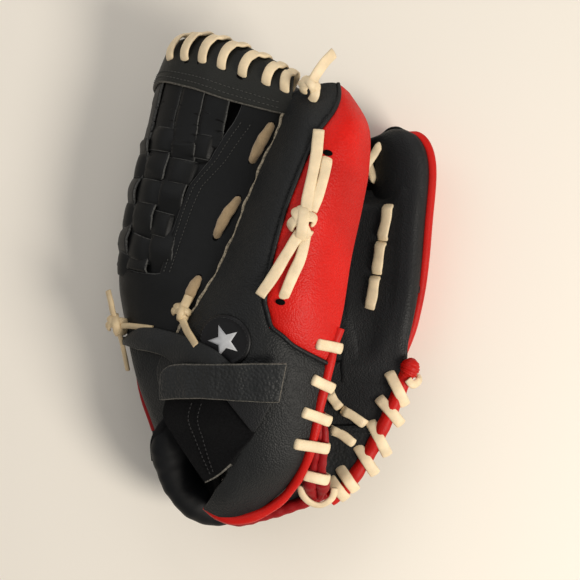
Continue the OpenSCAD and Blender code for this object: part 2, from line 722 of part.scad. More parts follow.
// Stitches of lace that pull the little finger's front to its back.
loop_vs = [[0.575, 0.45], [0.435, 0.32], [0.305, 0.19]];

module pinky_loop_lace() color(cream)
    for (v = loop_vs)
        sweep([
            for (k = [0 : 5])
                let (s = mix(v[0], v[1], k / 5))
                front_point(3, mix(-0.86, -0.42, s / 0.575), s) + [-1.4, 0, 2.4]
        ], flat_profile(5.5, lace_t), [-0.5, 0, 1]);

// Lace that ties the fingertips together.
tip_lace_v = 0.78;

module finger_lace() color(cream)
    for (f = [0 : 2]) {
        left = front_point(f, 0.95, tip_lace_v);
        right = front_point(f + 1, -0.95, tip_lace_v);
        resize([0, 0, 0]) union()
            for (w = [-0.05, 0.05])
                sweep(spline([
                    front_point(f, 0.72, tip_lace_v - w) + [0, 0, 2.6],
                    mix(left, right, 0.5) + [0, sign(w) * 3.6, 7],
                    front_point(f + 1, -0.72, tip_lace_v + w) + [0, 0, 2.6]
                ], 6), flat_profile(5, lace_t));
    }

module side_knot() color(tan) {
    knot([-99, -20, 50], [5, 6, 5]);
    sweep([[-100, -15, 51], [-102, -8, 50], [-104, 0, 48]], flat_profile(4.5, 1.6), [-0.5, 0, 1]);
    sweep([[-99, -26, 49], [-97, -36, 45], [-95, -47, 41]], flat_profile(4.5, 1.6), [-0.5, 0, 1]);
}

translate(base_shift) thumb_back_panel();
translate(base_shift) thumb_outer_panel();
translate(base_shift) thumb_piping();
translate(base_shift) thumb_front_leather();
translate(base_shift) thumb_pad();
translate(base_shift) thumb_lining();
translate(base_shift) thumb_binding();
translate(base_shift) thumb_heel_lace();
translate(base_shift) wrist_binding();
translate(base_shift) thumb_loop_lace();
translate(base_shift) emblem_patch();
translate(base_shift) web_thumb_panel();
translate(base_shift) web_thumb_lace();
translate(base_shift) web_weave();
translate(base_shift) web_rail();
translate(base_shift) rail_lace();
translate(base_shift) tip_knot();
translate(base_shift) strap_band();
translate(base_shift) strap_flap();
translate(base_shift) strap_loop_panel();
translate(base_shift) strap_tab();
translate(base_shift) tab_hook_pad();
translate(base_shift) palm_leather();
translate(base_shift) index_back();
translate(base_shift) middle_back();
translate(base_shift) ring_back();
translate(base_shift) pinky_back();
translate(base_shift) web_index_panel();
translate(base_shift) palm_patch();
translate(base_shift) palm_pad();
translate(base_shift) palm_lining();
translate(base_shift) palm_fold();
translate(base_shift) finger_welt();
translate(base_shift) hand_back_panel();
translate(base_shift) side_gusset();
translate(base_shift) wrist_rim();
translate(base_shift) wrist_roll();
translate(base_shift) heel_binding();
translate(base_shift) pinky_binding();
translate(base_shift) pinky_heel_lace();
translate(base_shift) palm_lace();
translate(base_shift) pinky_loop_lace();
translate(base_shift) finger_lace();
translate(base_shift) side_knot();
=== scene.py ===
"""Looks of the baseball glove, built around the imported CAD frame."""
import math

import bpy
import numpy as np
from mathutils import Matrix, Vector, noise


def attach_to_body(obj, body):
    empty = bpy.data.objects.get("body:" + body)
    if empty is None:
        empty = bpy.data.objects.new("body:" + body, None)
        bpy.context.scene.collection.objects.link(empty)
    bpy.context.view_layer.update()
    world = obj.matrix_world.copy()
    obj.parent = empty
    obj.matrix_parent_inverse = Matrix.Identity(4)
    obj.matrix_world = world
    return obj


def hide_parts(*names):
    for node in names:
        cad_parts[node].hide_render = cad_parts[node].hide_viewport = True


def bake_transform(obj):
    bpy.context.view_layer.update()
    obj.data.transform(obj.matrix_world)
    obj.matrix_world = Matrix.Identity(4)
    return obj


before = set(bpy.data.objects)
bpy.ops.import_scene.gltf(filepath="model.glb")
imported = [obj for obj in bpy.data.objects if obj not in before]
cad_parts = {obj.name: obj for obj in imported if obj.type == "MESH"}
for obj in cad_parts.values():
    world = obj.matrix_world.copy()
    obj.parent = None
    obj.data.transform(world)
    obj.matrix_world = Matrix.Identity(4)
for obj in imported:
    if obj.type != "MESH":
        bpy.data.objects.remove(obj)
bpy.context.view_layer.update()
# The seed that keeps the small shifts of wobble() the same in each run.
noise.seed_set(7)

MM = 0.001
# The drawing coordinates are those of part.scad, in millimetres; SHIFT puts them in the frame.
SHIFT = np.array([11.05, -3.52, 0.0])
LEATHER_T = 2.4
LACE_W = 6.0
LACE_T = 1.8
UP = (0, 0, 1)

# ---- Camera, light and floor -----------------------------------------------------------

CAMERA_HEIGHT = 0.700
SENSOR = 36.0
LENS = 70.9
FLOOR_SIZE = 3.0
FLOOR_Z = -0.0003
WORLD_COLOUR = (1.0, 0.97, 0.93, 1.0)
WORLD_STRENGTH = 0.30
# Each lamp's place, target, size, power and colour.
LIGHTS = {
    "key": ((0.75, -0.45, 0.85), (0, 0, 0.03), 0.45, 11.5, (1.0, 0.94, 0.85)),
    "fill": ((-0.7, 0.5, 1.0), (0, 0, 0.03), 1.2, 3.0, (0.96, 0.97, 1.0)),
    "rim": ((0.1, 1.0, 0.7), (0, 0, 0.05), 0.7, 2.8, (1.0, 0.97, 0.92)),
}


def make_camera():
    data = bpy.data.cameras.new("camera")
    data.sensor_width = SENSOR
    data.lens = LENS
    cam = bpy.data.objects.new("camera", data)
    cam.location = (SHIFT[0] * MM, SHIFT[1] * MM, CAMERA_HEIGHT)
    bpy.context.scene.collection.objects.link(cam)
    bpy.context.scene.camera = cam


def make_area(name, place, target, size, power, colour):
    data = bpy.data.lights.new(name, "AREA")
    data.shape = "DISK"
    data.size = size
    data.energy = power
    data.color = colour
    lamp = bpy.data.objects.new(name, data)
    lamp.location = place
    lamp.rotation_euler = (Vector(target) - Vector(place)).to_track_quat("-Z", "Y").to_euler()
    bpy.context.scene.collection.objects.link(lamp)


def make_studio():
    make_camera()
    for name, settings in LIGHTS.items():
        make_area(name, *settings)
    world = bpy.data.worlds.new("world")
    world.use_nodes = True
    back = world.node_tree.nodes["Background"]
    back.inputs["Color"].default_value = WORLD_COLOUR
    back.inputs["Strength"].default_value = WORLD_STRENGTH
    bpy.context.scene.world = world
    bpy.context.scene.view_settings.view_transform = "Standard"
    bpy.ops.mesh.primitive_plane_add(size=FLOOR_SIZE, location=(0, 0, FLOOR_Z))
    floor = bpy.context.object
    floor.name = "floor"
    paint = Nodes("floor")
    paint.set(Base_Color=(0.86, 0.81, 0.73, 1.0), Roughness=0.9)
    floor.data.materials.append(paint.mat)


# ---- Materials ---------------------------------------------------------------------------


class Nodes:
    """A material's node tree, with one call for each node and its links."""

    def __init__(self, name):
        self.mat = bpy.data.materials.new(name)
        self.mat.use_nodes = True
        self.tree = self.mat.node_tree
        self.shader = self.tree.nodes["Principled BSDF"]
        self.coords = self.tree.nodes.new("ShaderNodeTexCoord").outputs["Object"]

    def add(self, kind, values=(), **settings):
        node = self.tree.nodes.new(kind)
        for key, value in settings.items():
            setattr(node, key, value)
        for key, value in dict(values).items():
            self.feed(node.inputs[key], value)
        return node

    def feed(self, socket, value):
        if isinstance(value, bpy.types.NodeSocket):
            self.tree.links.new(value, socket)
        else:
            socket.default_value = value

    def noise(self, scale, detail=3.0, rough=0.55):
        node = self.add("ShaderNodeTexNoise", {
            "Vector": self.coords, "Scale": scale, "Detail": detail, "Roughness": rough})
        return node.outputs["Fac"]

    def cells(self, scale):
        node = self.add("ShaderNodeTexVoronoi", {
            "Vector": self.coords, "Scale": scale, "Smoothness": 0.35}, feature="SMOOTH_F1")
        return node.outputs["Distance"]

    def ramp(self, fac, stops):
        node = self.add("ShaderNodeValToRGB", {"Fac": fac})
        for element, (place, colour) in zip(node.color_ramp.elements, stops):
            element.position = place
            element.color = (*colour, 1.0)
        return node.outputs["Color"]

    def mix(self, fac, a, b):
        node = self.add("ShaderNodeMix", {0: fac, 6: a, 7: b}, data_type="RGBA")
        return node.outputs[2]

    def math(self, operation, a, b=0.0, c=0.0):
        return self.add("ShaderNodeMath", {0: a, 1: b, 2: c}, operation=operation).outputs[0]

    def between(self, value, low, high):
        node = self.add("ShaderNodeMapRange", {"Value": value, "To Min": low, "To Max": high})
        return node.outputs["Result"]

    def bump(self, height, strength, distance):
        node = self.add("ShaderNodeBump", {
            "Height": height, "Strength": strength, "Distance": distance})
        return node.outputs["Normal"]

    def set(self, **values):
        for key, value in values.items():
            self.feed(self.shader.inputs[key.replace("_", " ")], value)


def shade(colour, k):
    return tuple(min(c * k, 1.0) for c in colour)


def leather(name, colour, grain=850.0, depth=0.35, rough=(0.45, 0.6), gloss=0.24):
    """Pebbled leather: rounded grain cells, fine creases, and colour that varies a little."""
    n = Nodes(name)
    cells = n.cells(grain)
    folds = n.noise(grain * 0.22, 4.0, 0.65)
    tone = n.ramp(n.noise(28.0), [(0.3, shade(colour, 0.82)), (0.7, shade(colour, 1.16))])
    # Painted shade: the colour darkens to 0.55 of itself in the low valleys between the grain cells.
    tone = n.mix(n.between(cells, 0.0, 0.35), tone, (*shade(colour, 0.55), 1.0))
    height = n.math("MULTIPLY_ADD", cells, -0.9, n.math("MULTIPLY", folds, 0.8))
    height = n.math("MULTIPLY_ADD", n.noise(2600.0, 2.0), 0.12, height)
    n.set(Base_Color=tone, Roughness=n.between(n.noise(190.0), *rough),
          Normal=n.bump(height, depth, 0.0009), Specular_IOR_Level=gloss)
    return n.mat


def lace_leather(name, colour, suede=False):
    """Flat lace: smooth grain side with hairline creases, or the napped side of a suede one."""
    n = Nodes(name)
    patches = n.noise(120.0, 4.0, 0.6)
    fibres = n.noise(1500.0, 3.0, 0.7)
    tone = n.ramp(patches, [(0.32, shade(colour, 0.74 if suede else 0.86)), (0.68, shade(colour, 1.1))])
    tone = n.mix(n.between(fibres, 0.0, 0.5 if suede else 0.22), tone, (*shade(colour, 0.6), 1.0))
    rough = n.between(fibres, 0.75, 0.95) if suede else n.between(patches, 0.42, 0.6)
    n.set(Base_Color=tone, Roughness=rough, Normal=n.bump(fibres, 0.55 if suede else 0.22, 0.0006),
          Subsurface_Weight=0.05, Subsurface_Radius=(0.002, 0.0012, 0.0008))
    if suede:
        n.set(Sheen_Weight=0.4)
    return n.mat


def fibre(name, colour, noise_form, stops, bump, **shader):
    """Fine fibres: one noise gives both their tones, as stops of place and shade, and bumps."""
    n = Nodes(name)
    fuzz = n.noise(*noise_form)
    n.set(Base_Color=n.ramp(fuzz, [(place, shade(colour, k)) for place, k in stops]),
          Normal=n.bump(fuzz, *bump), **shader)
    return n.mat


def cloth(name, colour, pile=900.0, depth=0.6, sheen=0.5):
    return fibre(name, colour, (pile, 4.0, 0.75), ((0.3, 0.5), (0.75, 1.7)), (depth, 0.0011),
                 Roughness=0.92, Specular_IOR_Level=0.08, Sheen_Weight=sheen, Sheen_Roughness=0.5)


def thread(name, colour):
    return fibre(name, colour, (2200.0, 2.0), ((0.3, 0.7), (0.7, 1.0)), (0.4, 0.0003), Roughness=0.7)


def raw_edge(name, colour):
    """Cut edge of the leather, where its pale fibres show in patches."""
    return fibre(name, colour, (900.0, 4.0, 0.8), ((0.38, 0.18), (0.55, 1.0)), (0.8, 0.0006),
                 Roughness=0.9)


CHARCOAL = (0.0135, 0.0145, 0.0150)
BLACK = (0.010, 0.0105, 0.0115)
RED = (0.62, 0.006, 0.002)
DEEP_RED = (0.30, 0.004, 0.006)
CREAM = (0.87, 0.70, 0.46)
TAN = (0.50, 0.35, 0.19)


def make_looks():
    """For each of the record's slots, the materials of the pieces that take it."""
    return {
        "charcoal_leather": {
            "charcoal": leather("charcoal_leather", CHARCOAL, 1000.0, 0.4),
            "web": leather("web_leather", shade(CHARCOAL, 0.4), 1800.0, 0.12, (0.4, 0.55), 0.2),
            "tab": leather("tab_leather", shade(CHARCOAL, 1.5), 600.0, 0.8),
            "rail": leather("rail_leather", (0.016, 0.0165, 0.014), 1300.0, 0.22),
            "patch": leather("patch_leather", shade(CHARCOAL, 1.2), 620.0, 0.45, (0.6, 0.7)),
            "strap": leather("strap_leather", shade(CHARCOAL, 1.2), 1000.0, 0.3),
            "grey_thread": thread("grey_thread", (0.055, 0.055, 0.05)),
            "black_thread": thread("black_thread", (0.012, 0.012, 0.013)),
            "raw": raw_edge("raw_edge", (0.50, 0.42, 0.30)),
            "web_edge": raw_edge("web_edge", (0.075, 0.075, 0.072)),
            "worn_edge": raw_edge("worn_edge", (0.15, 0.14, 0.12)),
        },
        "black_leather": {
            "black": leather("black_leather", BLACK, 1150.0, 0.3, (0.45, 0.6), 0.28),
            # Near-black painted shade: the dark in the lace holes, in the gaps of the weave and in the
            # wrist opening.
            "hole": leather("painted_shade_black", (0.003, 0.003, 0.003), 1500.0, 0.1, (0.8, 0.9), 0.05),
        },
        "red_leather": {
            "red": leather("red_leather", RED, 950.0, 0.32, (0.42, 0.55)),
            "binding": leather("red_binding", shade(RED, 0.9), 1500.0, 0.16, (0.42, 0.55)),
        },
        "dark_red_leather": {
            "dark_red": leather("dark_red_binding", DEEP_RED, 1500.0, 0.16, (0.45, 0.6)),
        },
        "emblem_rubber": {
            "emblem": leather("emblem_rubber", (0.008, 0.008, 0.009), 2200.0, 0.08, (0.4, 0.5)),
            "silver": leather("emblem_star", (0.58, 0.59, 0.61), 2200.0, 0.08, (0.5, 0.6)),
        },
        "cream_lace": {"cream": lace_leather("cream_lace", CREAM)},
        "tan_lace": {
            "pale_tan": lace_leather("pale_tan_lace", (0.64, 0.49, 0.29)),
            "tan": lace_leather("tan_lace", TAN, suede=True),
        },
        "loop_fabric": {"fuzz": cloth("loop_fabric", (0.0045, 0.0045, 0.005), sheen=0.03)},
        "lining_cloth": {
            "lining": cloth("lining_cloth", (0.006, 0.006, 0.007), 1600.0, 0.25, 0.03),
            "roll": leather("roll_leather", (0.005, 0.0055, 0.0065), 1900.0, 0.1, (0.5, 0.6), 0.2),
        },
        "felt_padding": {"felt": cloth("felt_padding", (0.42, 0.37, 0.30), 700.0, 0.5, 0.1)},
    }


LOOKS = {
    look: (slot, material)
    for slot, looks in make_looks().items()
    for look, material in looks.items()
}


# ---- Curves and nets, as in part.scad -----------------------------------------------------


def taps(n, s):
    """The four control points round each share s along n points, and their weights."""
    q = np.clip(s, 0.0, 1.0) * (n - 1)
    i = np.minimum(np.floor(q).astype(int), n - 2)
    t = q - i
    index = np.stack([np.maximum(i - 1, 0), i, i + 1, np.minimum(i + 2, n - 1)])
    weight = 0.5 * np.stack([
        -t + 2 * t ** 2 - t ** 3,
        2 - 5 * t ** 2 + 3 * t ** 3,
        t + 4 * t ** 2 - 3 * t ** 3,
        -t ** 2 + t ** 3,
    ])
    return index, weight


def along(points, s):
    p = np.asarray(points, float)
    index, weight = taps(len(p), np.atleast_1d(np.asarray(s, float)))
    return np.einsum("km,kmd->md", weight, p[index])


def even(points, n):
    """n + 1 points at equal distances along the smooth curve through the points."""
    fine = along(points, np.linspace(0, 1, max(200, 4 * n) + 1))
    run = run_along(fine)
    want = np.linspace(0, run[-1], n + 1)
    return np.stack([np.interp(want, run, fine[:, k]) for k in range(fine.shape[1])], axis=1)


def run_along(points):
    """Distance along a line at each of its points."""
    return np.concatenate([[0], np.cumsum(np.linalg.norm(np.diff(points, axis=0), axis=1))])


def unit(v):
    return v / np.maximum(np.linalg.norm(v, axis=-1, keepdims=True), 1e-9)


def smooth(t):
    t = np.clip(t, 0.0, 1.0)
    return t * t * (3 - 2 * t)


class Net:
    """A smooth surface through rows of control points. way is 1 where its outer side faces
    along the cross product of u and v, and -1 where it faces the other way."""

    def __init__(self, rows, way):
        self.rows = np.array(rows, float)
        self.way = way

    def at(self, u, v):
        u, v = np.broadcast_arrays(np.asarray(u, float), np.asarray(v, float))
        shape = u.shape
        iu, wu = taps(self.rows.shape[1], u.ravel())
        iv, wv = taps(self.rows.shape[0], v.ravel())
        total = 0
        for a in range(4):
            for b in range(4):
                total = total + (wu[a] * wv[b])[:, None] * self.rows[iv[b], iu[a]]
        return total.reshape(*shape, 3)

    def normal(self, u, v):
        e = 0.006
        du = self.at(np.minimum(u + e, 1), v) - self.at(np.maximum(u - e, 0), v)
        dv = self.at(u, np.minimum(v + e, 1)) - self.at(u, np.maximum(v - e, 0))
        return unit(np.cross(du, dv)) * self.way

    def over(self, u, v, h):
        n = self.normal(u, v)
        return self.at(u, v) + n * (h[..., None] if isinstance(h, np.ndarray) else h)

    def locate(self, x, y, turns=14):
        """u and v of the surface above each place x, y."""
        x, y = np.broadcast_arrays(np.asarray(x, float), np.asarray(y, float))
        u = np.full(x.shape, 0.5)
        v = np.full(x.shape, 0.5)
        e = 0.003
        for _ in range(turns):
            u1, u0 = np.minimum(u + e, 1), np.maximum(u - e, 0)
            v1, v0 = np.minimum(v + e, 1), np.maximum(v - e, 0)
            p = self.at(u, v)
            a = (self.at(u1, v) - self.at(u0, v)) / (u1 - u0)[..., None]
            b = (self.at(u, v1) - self.at(u, v0)) / (v1 - v0)[..., None]
            det = a[..., 0] * b[..., 1] - a[..., 1] * b[..., 0]
            det = np.where(np.abs(det) < 1e-6, 1e-6, det)
            dx, dy = x - p[..., 0], y - p[..., 1]
            u = np.clip(u + 0.7 * (dx * b[..., 1] - dy * b[..., 0]) / det, 0, 1)
            v = np.clip(v + 0.7 * (a[..., 0] * dy - a[..., 1] * dx) / det, 0, 1)
        return u, v

    def lift(self, xy, h):
        """Points at the height h over the surface, above the places xy."""
        xy = np.asarray(xy, float)
        u, v = self.locate(xy[..., 0], xy[..., 1])
        return self.over(u, v, h), self.normal(u, v)


# ---- Mesh pieces --------------------------------------------------------------------------


def add_piece(name, part, looks, body, stands_for=()):
    """Makes a smooth mesh piece from a part, or a list of them, in drawing millimetres. looks
    names its materials."""
    verts, faces, kinds = merge(part) if isinstance(part, list) else part
    looks = [looks] if isinstance(looks, str) else looks
    mesh = bpy.data.meshes.new(name)
    points = (np.asarray(verts, float) + SHIFT) * MM
    mesh.from_pydata(points.tolist(), [], [list(map(int, f)) for f in faces])
    for look in looks:
        mesh.materials.append(LOOKS[look][1])
    mesh.polygons.foreach_set("material_index", np.asarray(kinds, np.int32))
    mesh.polygons.foreach_set("use_smooth", np.ones(len(mesh.polygons), bool))
    mesh.validate()
    mesh.update()
    obj = bpy.data.objects.new(name, mesh)
    bpy.context.scene.collection.objects.link(obj)
    attach(obj, body)
    if stands_for:
        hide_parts(*([stands_for] if isinstance(stands_for, str) else stands_for))
    return obj


def attach(obj, body):
    """Rides on one body; across the pocket hinge or the strap's peel, its transform is baked in."""
    if body == "across":
        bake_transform(obj)
    elif body == "peel":
        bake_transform(obj)
    else:
        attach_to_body(obj, body)


def merge(parts):
    """Joins (verts, faces, material indices) parts into one."""
    verts, faces, mats, base = [], [], [], 0
    for v, f, m in parts:
        verts.append(v)
        faces.extend([[i + base for i in face] for face in f])
        mats.extend(m)
        base += len(v)
    return np.concatenate(verts), faces, mats


def rim_edges(keep):
    """Rim edges of the cells that are there, each as two places i, j, the sheet on its left."""
    there = np.pad(keep, 1)
    rim = []
    for i, j in np.argwhere(keep):
        corners = [(i, j), (i, j + 1), (i + 1, j + 1), (i + 1, j)]
        beside = [there[i, j + 1], there[i + 1, j + 2], there[i + 2, j + 1], there[i + 1, j]]
        rim += [(corners[k], corners[(k + 1) % 4]) for k in range(4) if not beside[k]]
    return rim


def sheet_part(top, normals, thick, keep=None, raw=None, way=1, bulge=0.35):
    """Closed sheet with a rounded rim, turned over where way is -1. keep marks the cells that
    are there; raw(i, j) says which rim places show the cut edge, whose faces have material 1."""
    rows, cols = top.shape[:2]
    keep = np.ones((rows - 1, cols - 1), bool) if keep is None else keep
    total = rows * cols
    ids = np.arange(total).reshape(rows, cols)
    flat_top = top.reshape(-1, 3)
    flat_n = normals.reshape(-1, 3)
    flat_low = flat_top - flat_n * thick
    faces = []
    for i, j in np.argwhere(keep):
        cell = [ids[i, j], ids[i, j + 1], ids[i + 1, j + 1], ids[i + 1, j]]
        faces += [cell, [k + total for k in reversed(cell)]]
    kinds = [0] * len(faces)
    rim = [(ids[a], ids[b]) for a, b in rim_edges(keep)]
    out = {}
    for a, b in rim:
        direction = unit(np.cross(flat_top[b] - flat_top[a], flat_n[a] + flat_n[b]))
        for k in (a, b):
            out[k] = out.get(k, 0) + direction
    order = sorted(out)
    mids = {k: 2 * total + n for n, k in enumerate(order)}
    middle = [0.5 * (flat_top[k] + flat_low[k]) + unit(out[k]) * way * bulge * thick for k in order]
    for a, b in rim:
        kind = 1 if raw is not None and raw(a // cols, a % cols) else 0
        faces += [[b, a, mids[a], mids[b]], [mids[b], mids[a], a + total, b + total]]
        kinds += [kind, kind]
    if way < 0:
        faces = [f[::-1] for f in faces]
    return drop_unused(np.concatenate([flat_top, flat_low, np.array(middle)]), faces, kinds)


def drop_unused(verts, faces, mats):
    used = np.unique(np.concatenate([np.asarray(f) for f in faces]))
    new = np.full(len(verts), -1)
    new[used] = np.arange(len(used))
    return verts[used], [[int(new[i]) for i in f] for f in faces], mats


def sheet_over(net, u, v, h, thick, keep=None, raw=None, way=None):
    """Sheet over a net at the places u, v. h is its height, a number or one for each place."""
    normals = net.normal(u, v)
    top = net.at(u, v) + normals * (np.zeros(u.shape) + h)[..., None]
    return sheet_part(top, normals, thick, keep, raw, net.way if way is None else way)


def net_sheet(net, us, vs, h=0.0, thick=LEATHER_T, raw=None):
    """Sheet on a net. us and vs give the first share, the last one and how many; h is the
    height over the net, a number or a function of u and v."""
    u, v = np.meshgrid(np.linspace(*us), np.linspace(*vs))
    return sheet_over(net, u, v, h(u, v) if callable(h) else h, thick, None, raw)


def grid_sheet(g, way):
    normals = unit(np.cross(np.gradient(g, axis=1), np.gradient(g, axis=0))) * way
    return sheet_part(g, normals, LEATHER_T, way=way)


def oval_profile(a, b, n=20):
    q = np.linspace(0, 2 * math.pi, n, endpoint=False)
    return np.stack([a * np.cos(q), b * np.sin(q)], axis=1)


def round_profile(r, n):
    return oval_profile(r, r, n)


def lace_profile(w, t, crown=0.25):
    """Flat lace with rounded edges and a slightly raised middle."""
    half, r = w / 2, t / 2
    q = np.linspace(-math.pi / 2, math.pi / 2, 5)
    right = [(half - r + r * math.cos(a), r * math.sin(a)) for a in q]
    left = [(-half + r - r * math.cos(a), -r * math.sin(a)) for a in q]
    middle_top = [(0.3 * half, r + crown), (-0.3 * half, r + crown)]
    middle_low = [(-0.3 * half, -r), (0.3 * half, -r)]
    return np.array(right + middle_top + left + middle_low)


def sweep_part(path, profile, ups=UP, size=None):
    """Solid swept along a path. ups is one direction or one for each point; size is a scale
    for each point, or one for each way across."""
    p = np.asarray(path, float)
    n, m = len(p), len(profile)
    t = unit(np.gradient(p, axis=0))
    s = unit(np.cross(t, np.broadcast_to(np.asarray(ups, float), p.shape)))
    h = np.cross(s, t)
    k = np.ones(n) if size is None else np.asarray(size, float)
    k = k if k.ndim == 2 else np.stack([k, k], axis=1)
    verts = (p[:, None] + k[:, None, :1] * profile[None, :, :1] * s[:, None]
             + k[:, None, 1:] * profile[None, :, 1:] * h[:, None]).reshape(-1, 3)
    faces = []
    for i in range(n - 1):
        for q in range(m):
            a, b = i * m + q, i * m + (q + 1) % m
            faces.append([b, a, a + m, b + m])
    faces += [list(range(m)), [(n - 1) * m + q for q in reversed(range(m))]]
    return verts, faces, [0] * len(faces)


def wobble(points, size, scale=0.08, seed=0.0):
    """Small smooth shifts, the same each run."""
    shift = Vector((seed, 2 * seed, 3 * seed))
    return points + size * np.array([noise.noise_vector(Vector(p) * scale + shift) for p in points])


def lace_on(net, places, h, w=LACE_W, n=26, seed=0.0, bury=(2.4, 2.4)):
    """Lace over a net along places; bury sinks its two ends by so many millimetres."""
    xy = even(places, n)
    s = np.linspace(0, 1, n + 1)
    sink = bury[0] * (1 - smooth(s / 0.14)) + bury[1] * (1 - smooth((1 - s) / 0.14))
    path, normals = net.lift(xy, h + LACE_T / 2 - sink)
    path = wobble(path, 0.25, 0.15, seed)
    return sweep_part(path, lace_profile(w, LACE_T), normals, 1 + 0.04 * np.sin(9 * s + seed))


def stitch_row(net, u, v, h, length, pitch, r, lift=0.12):
    """Short thread stitches over a net along the places u, v."""
    return stitches_on(net.over(u, v, h), net.normal(u, v), length, pitch, r, lift)


def stitches_on(path, normals, length, pitch, r, lift=0.12):
    run = run_along(path)
    arch = np.array([-0.25, 0.06, 0.12, 0.06, -0.25])[:, None]
    parts = []
    start = 0.5
    while start + length < run[-1]:
        want = np.linspace(start, start + length, 5)
        pts = np.stack([np.interp(want, run, path[:, k]) for k in range(3)], axis=1)
        nrm = unit(np.stack([np.interp(want, run, normals[:, k]) for k in range(3)], axis=1))
        parts.append(sweep_part(pts + nrm * (arch + lift), round_profile(r, 6), nrm,
                                [0.6, 1, 1, 1, 0.6]))
        start += pitch
    return merge(parts)


def hole_shade_part(centre, normal, along_dir, a, b):
    """Thin dark oval of painted shade, where a lace goes through the leather."""
    n = unit(np.asarray(normal, float))
    e1 = unit(np.asarray(along_dir, float) - n * np.dot(along_dir, n))
    q = np.linspace(0, 2 * math.pi, 16, endpoint=False)
    ring = centre + a * np.cos(q)[:, None] * e1 + b * np.sin(q)[:, None] * np.cross(n, e1)
    faces = [list(range(16)), [31 - k for k in range(16)]]
    faces += [[(k + 1) % 16, k, 16 + k, 16 + (k + 1) % 16] for k in range(16)]
    return np.concatenate([ring + n * 0.15, ring - n * 0.8]), faces, [0] * len(faces)


def tie_knot(centre, along_dir, size, w, seed=0.0):
    """Overhand knot of flat lace: two crossing bands and the turn over them. size gives its
    half width, half length and height; along_dir is the way the lace runs."""
    y = unit(np.array([*along_dir, 0.0]))
    x = np.array([y[1], -y[0], 0.0])
    bands = [
        [(-1, -0.5, -0.5), (-0.95, -0.2, 0.3), (-0.3, 0.3, 0.75), (0.45, 0.55, 0.6), (0.95, 0.5, 0.1),
         (1, 0.2, -0.6)],
        [(1, -0.5, -0.6), (0.85, -0.6, 0.25), (0.2, -0.25, 0.8), (-0.5, 0.25, 0.7), (-0.95, 0.6, 0.2),
         (-0.8, 0.8, -0.5)],
        [(-0.5, 1.0, -0.4), (-0.3, 0.75, 0.5), (0.0, 0.1, 1.1), (0.2, -0.6, 0.7), (0.3, -1.0, -0.3)],
    ]
    parts = []
    for k, band in enumerate(bands):
        path = [centre + size[0] * a * x + size[1] * b * y + np.array([0, 0, size[2] * c])
                for a, b, c in band]
        dense = even(np.array(path), 26)
        ups = unit(dense - (centre - np.array([0, 0, 1.5 * size[2]])))
        parts.append(sweep_part(wobble(dense, 0.25, 0.15, seed + k), lace_profile(w, LACE_T), ups))
    return merge(parts)


def lace_tail(points, w, ups=UP, seed=0.0):
    path = wobble(even(np.array(points, float), 26), 0.25, 0.12, seed)
    return sweep_part(path, lace_profile(w, 1.7), ups)


def knot_with_tails(centre, knot, tails):
    """A knot and its tails, each given by its points from the knot's centre, and its form."""
    c = np.array(centre)
    return [tie_knot(c, *knot)] + [lace_tail(c + np.array(points), *form) for points, *form in tails]


def folded_binding(points, r, n, seed, ups=(1, 0, 0.4), sizes=None):
    """Rolled leather with the small gathers of a tight binding."""
    s = np.linspace(0, 1, n + 1)
    size = 1 + 0.05 * np.sin(55 * s + seed) + 0.035 * np.sin(23 * s + 2 * seed)
    if sizes is not None:
        size = size * along(np.array(sizes)[:, None], s)[:, 0]
    return sweep_part(even(points, n), round_profile(r, 20), ups, size)


def edge_wrap(start, turn, roll_z, r, start_z, seed, w=LACE_W):
    """Lace that comes out of the leather at start, crosses the roll and turns round under it."""
    a = np.array([*start, start_z])
    b = np.array([*turn, roll_z])
    d = unit(np.array([b[0] - a[0], b[1] - a[1], 0.0]))
    top = 0.45 * a + 0.55 * b
    top[2] = roll_z + r + 1.2
    points = [
        a - [0, 0, 3.0], a + [0, 0, 0.7] + 0.8 * d, 0.6 * (a + [0, 0, 1.4]) + 0.4 * top, top,
        b + [0, 0, 0.75 * r] - 0.6 * d, b + 0.9 * d - [0, 0, 0.4 * r], b - 0.8 * d - [0, 0, 1.2 * r],
        b - 4.0 * d - [0, 0, 1.5 * r + 1],
    ]
    path = even(np.array(points), 40)
    t = unit(np.gradient(path, axis=0))
    side = np.array([d[1], -d[0], 0.0])
    ups = unit(np.cross(t, side))
    ups = ups if ups[12][2] > 0 else -ups
    return sweep_part(wobble(path, 0.22, 0.12, seed), lace_profile(w, LACE_T), ups)


# ---- The glove's surfaces, with the same control points as part.scad -----------------------

THUMB = Net([
    [[-3, 103, 84], [6, 108, 87], [16, 110.5, 88], [25, 111, 87], [32, 107, 82]],
    [[-4, 91, 83], [6, 89, 97], [16, 89, 100], [31, 89, 97], [42.5, 89, 82]],
    [[-15, 67, 80], [-4, 65, 98], [6, 64, 104], [25, 64, 101], [43, 67, 82]],
    [[-24, 45, 79], [-12, 44, 98], [-2, 43, 105], [18, 43, 103], [39.3, 45, 82]],
    [[-35, 18, 79], [-21, 18, 98], [-9, 18, 105], [12, 18, 103], [33.2, 17, 83]],
    [[-48, -5, 79], [-29, -5, 96], [-13, -5, 104], [8, -7, 102], [28.3, -13, 85]],
    [[-60, -22, 77], [-36, -22, 94], [-11, -20, 102], [3, -30, 98], [21.3, -40, 85.5]],
    [[-73, -44, 68], [-50, -46, 86], [-24, -46, 97], [-3, -52, 96], [17, -58, 84.5]],
    [[-64, -66, 69], [-47, -69, 84], [-22, -71, 93], [-3, -73, 91.5], [14, -74.5, 83]],
    [[-34, -92, 84], [-26, -92, 87], [-14, -93, 88], [-2, -93, 85], [8.5, -92, 79]],
    [[-41, -111, 75], [-33, -112, 78], [-22, -112, 77], [-11, -111, 74.5], [-1, -107.5, 72]],
    [[-47.5, -121.5, 65], [-41, -124.5, 66.5], [-34, -126.8, 66.5], [-26, -126.5, 66],
     [-17, -122.5, 66.5]],
], -1)
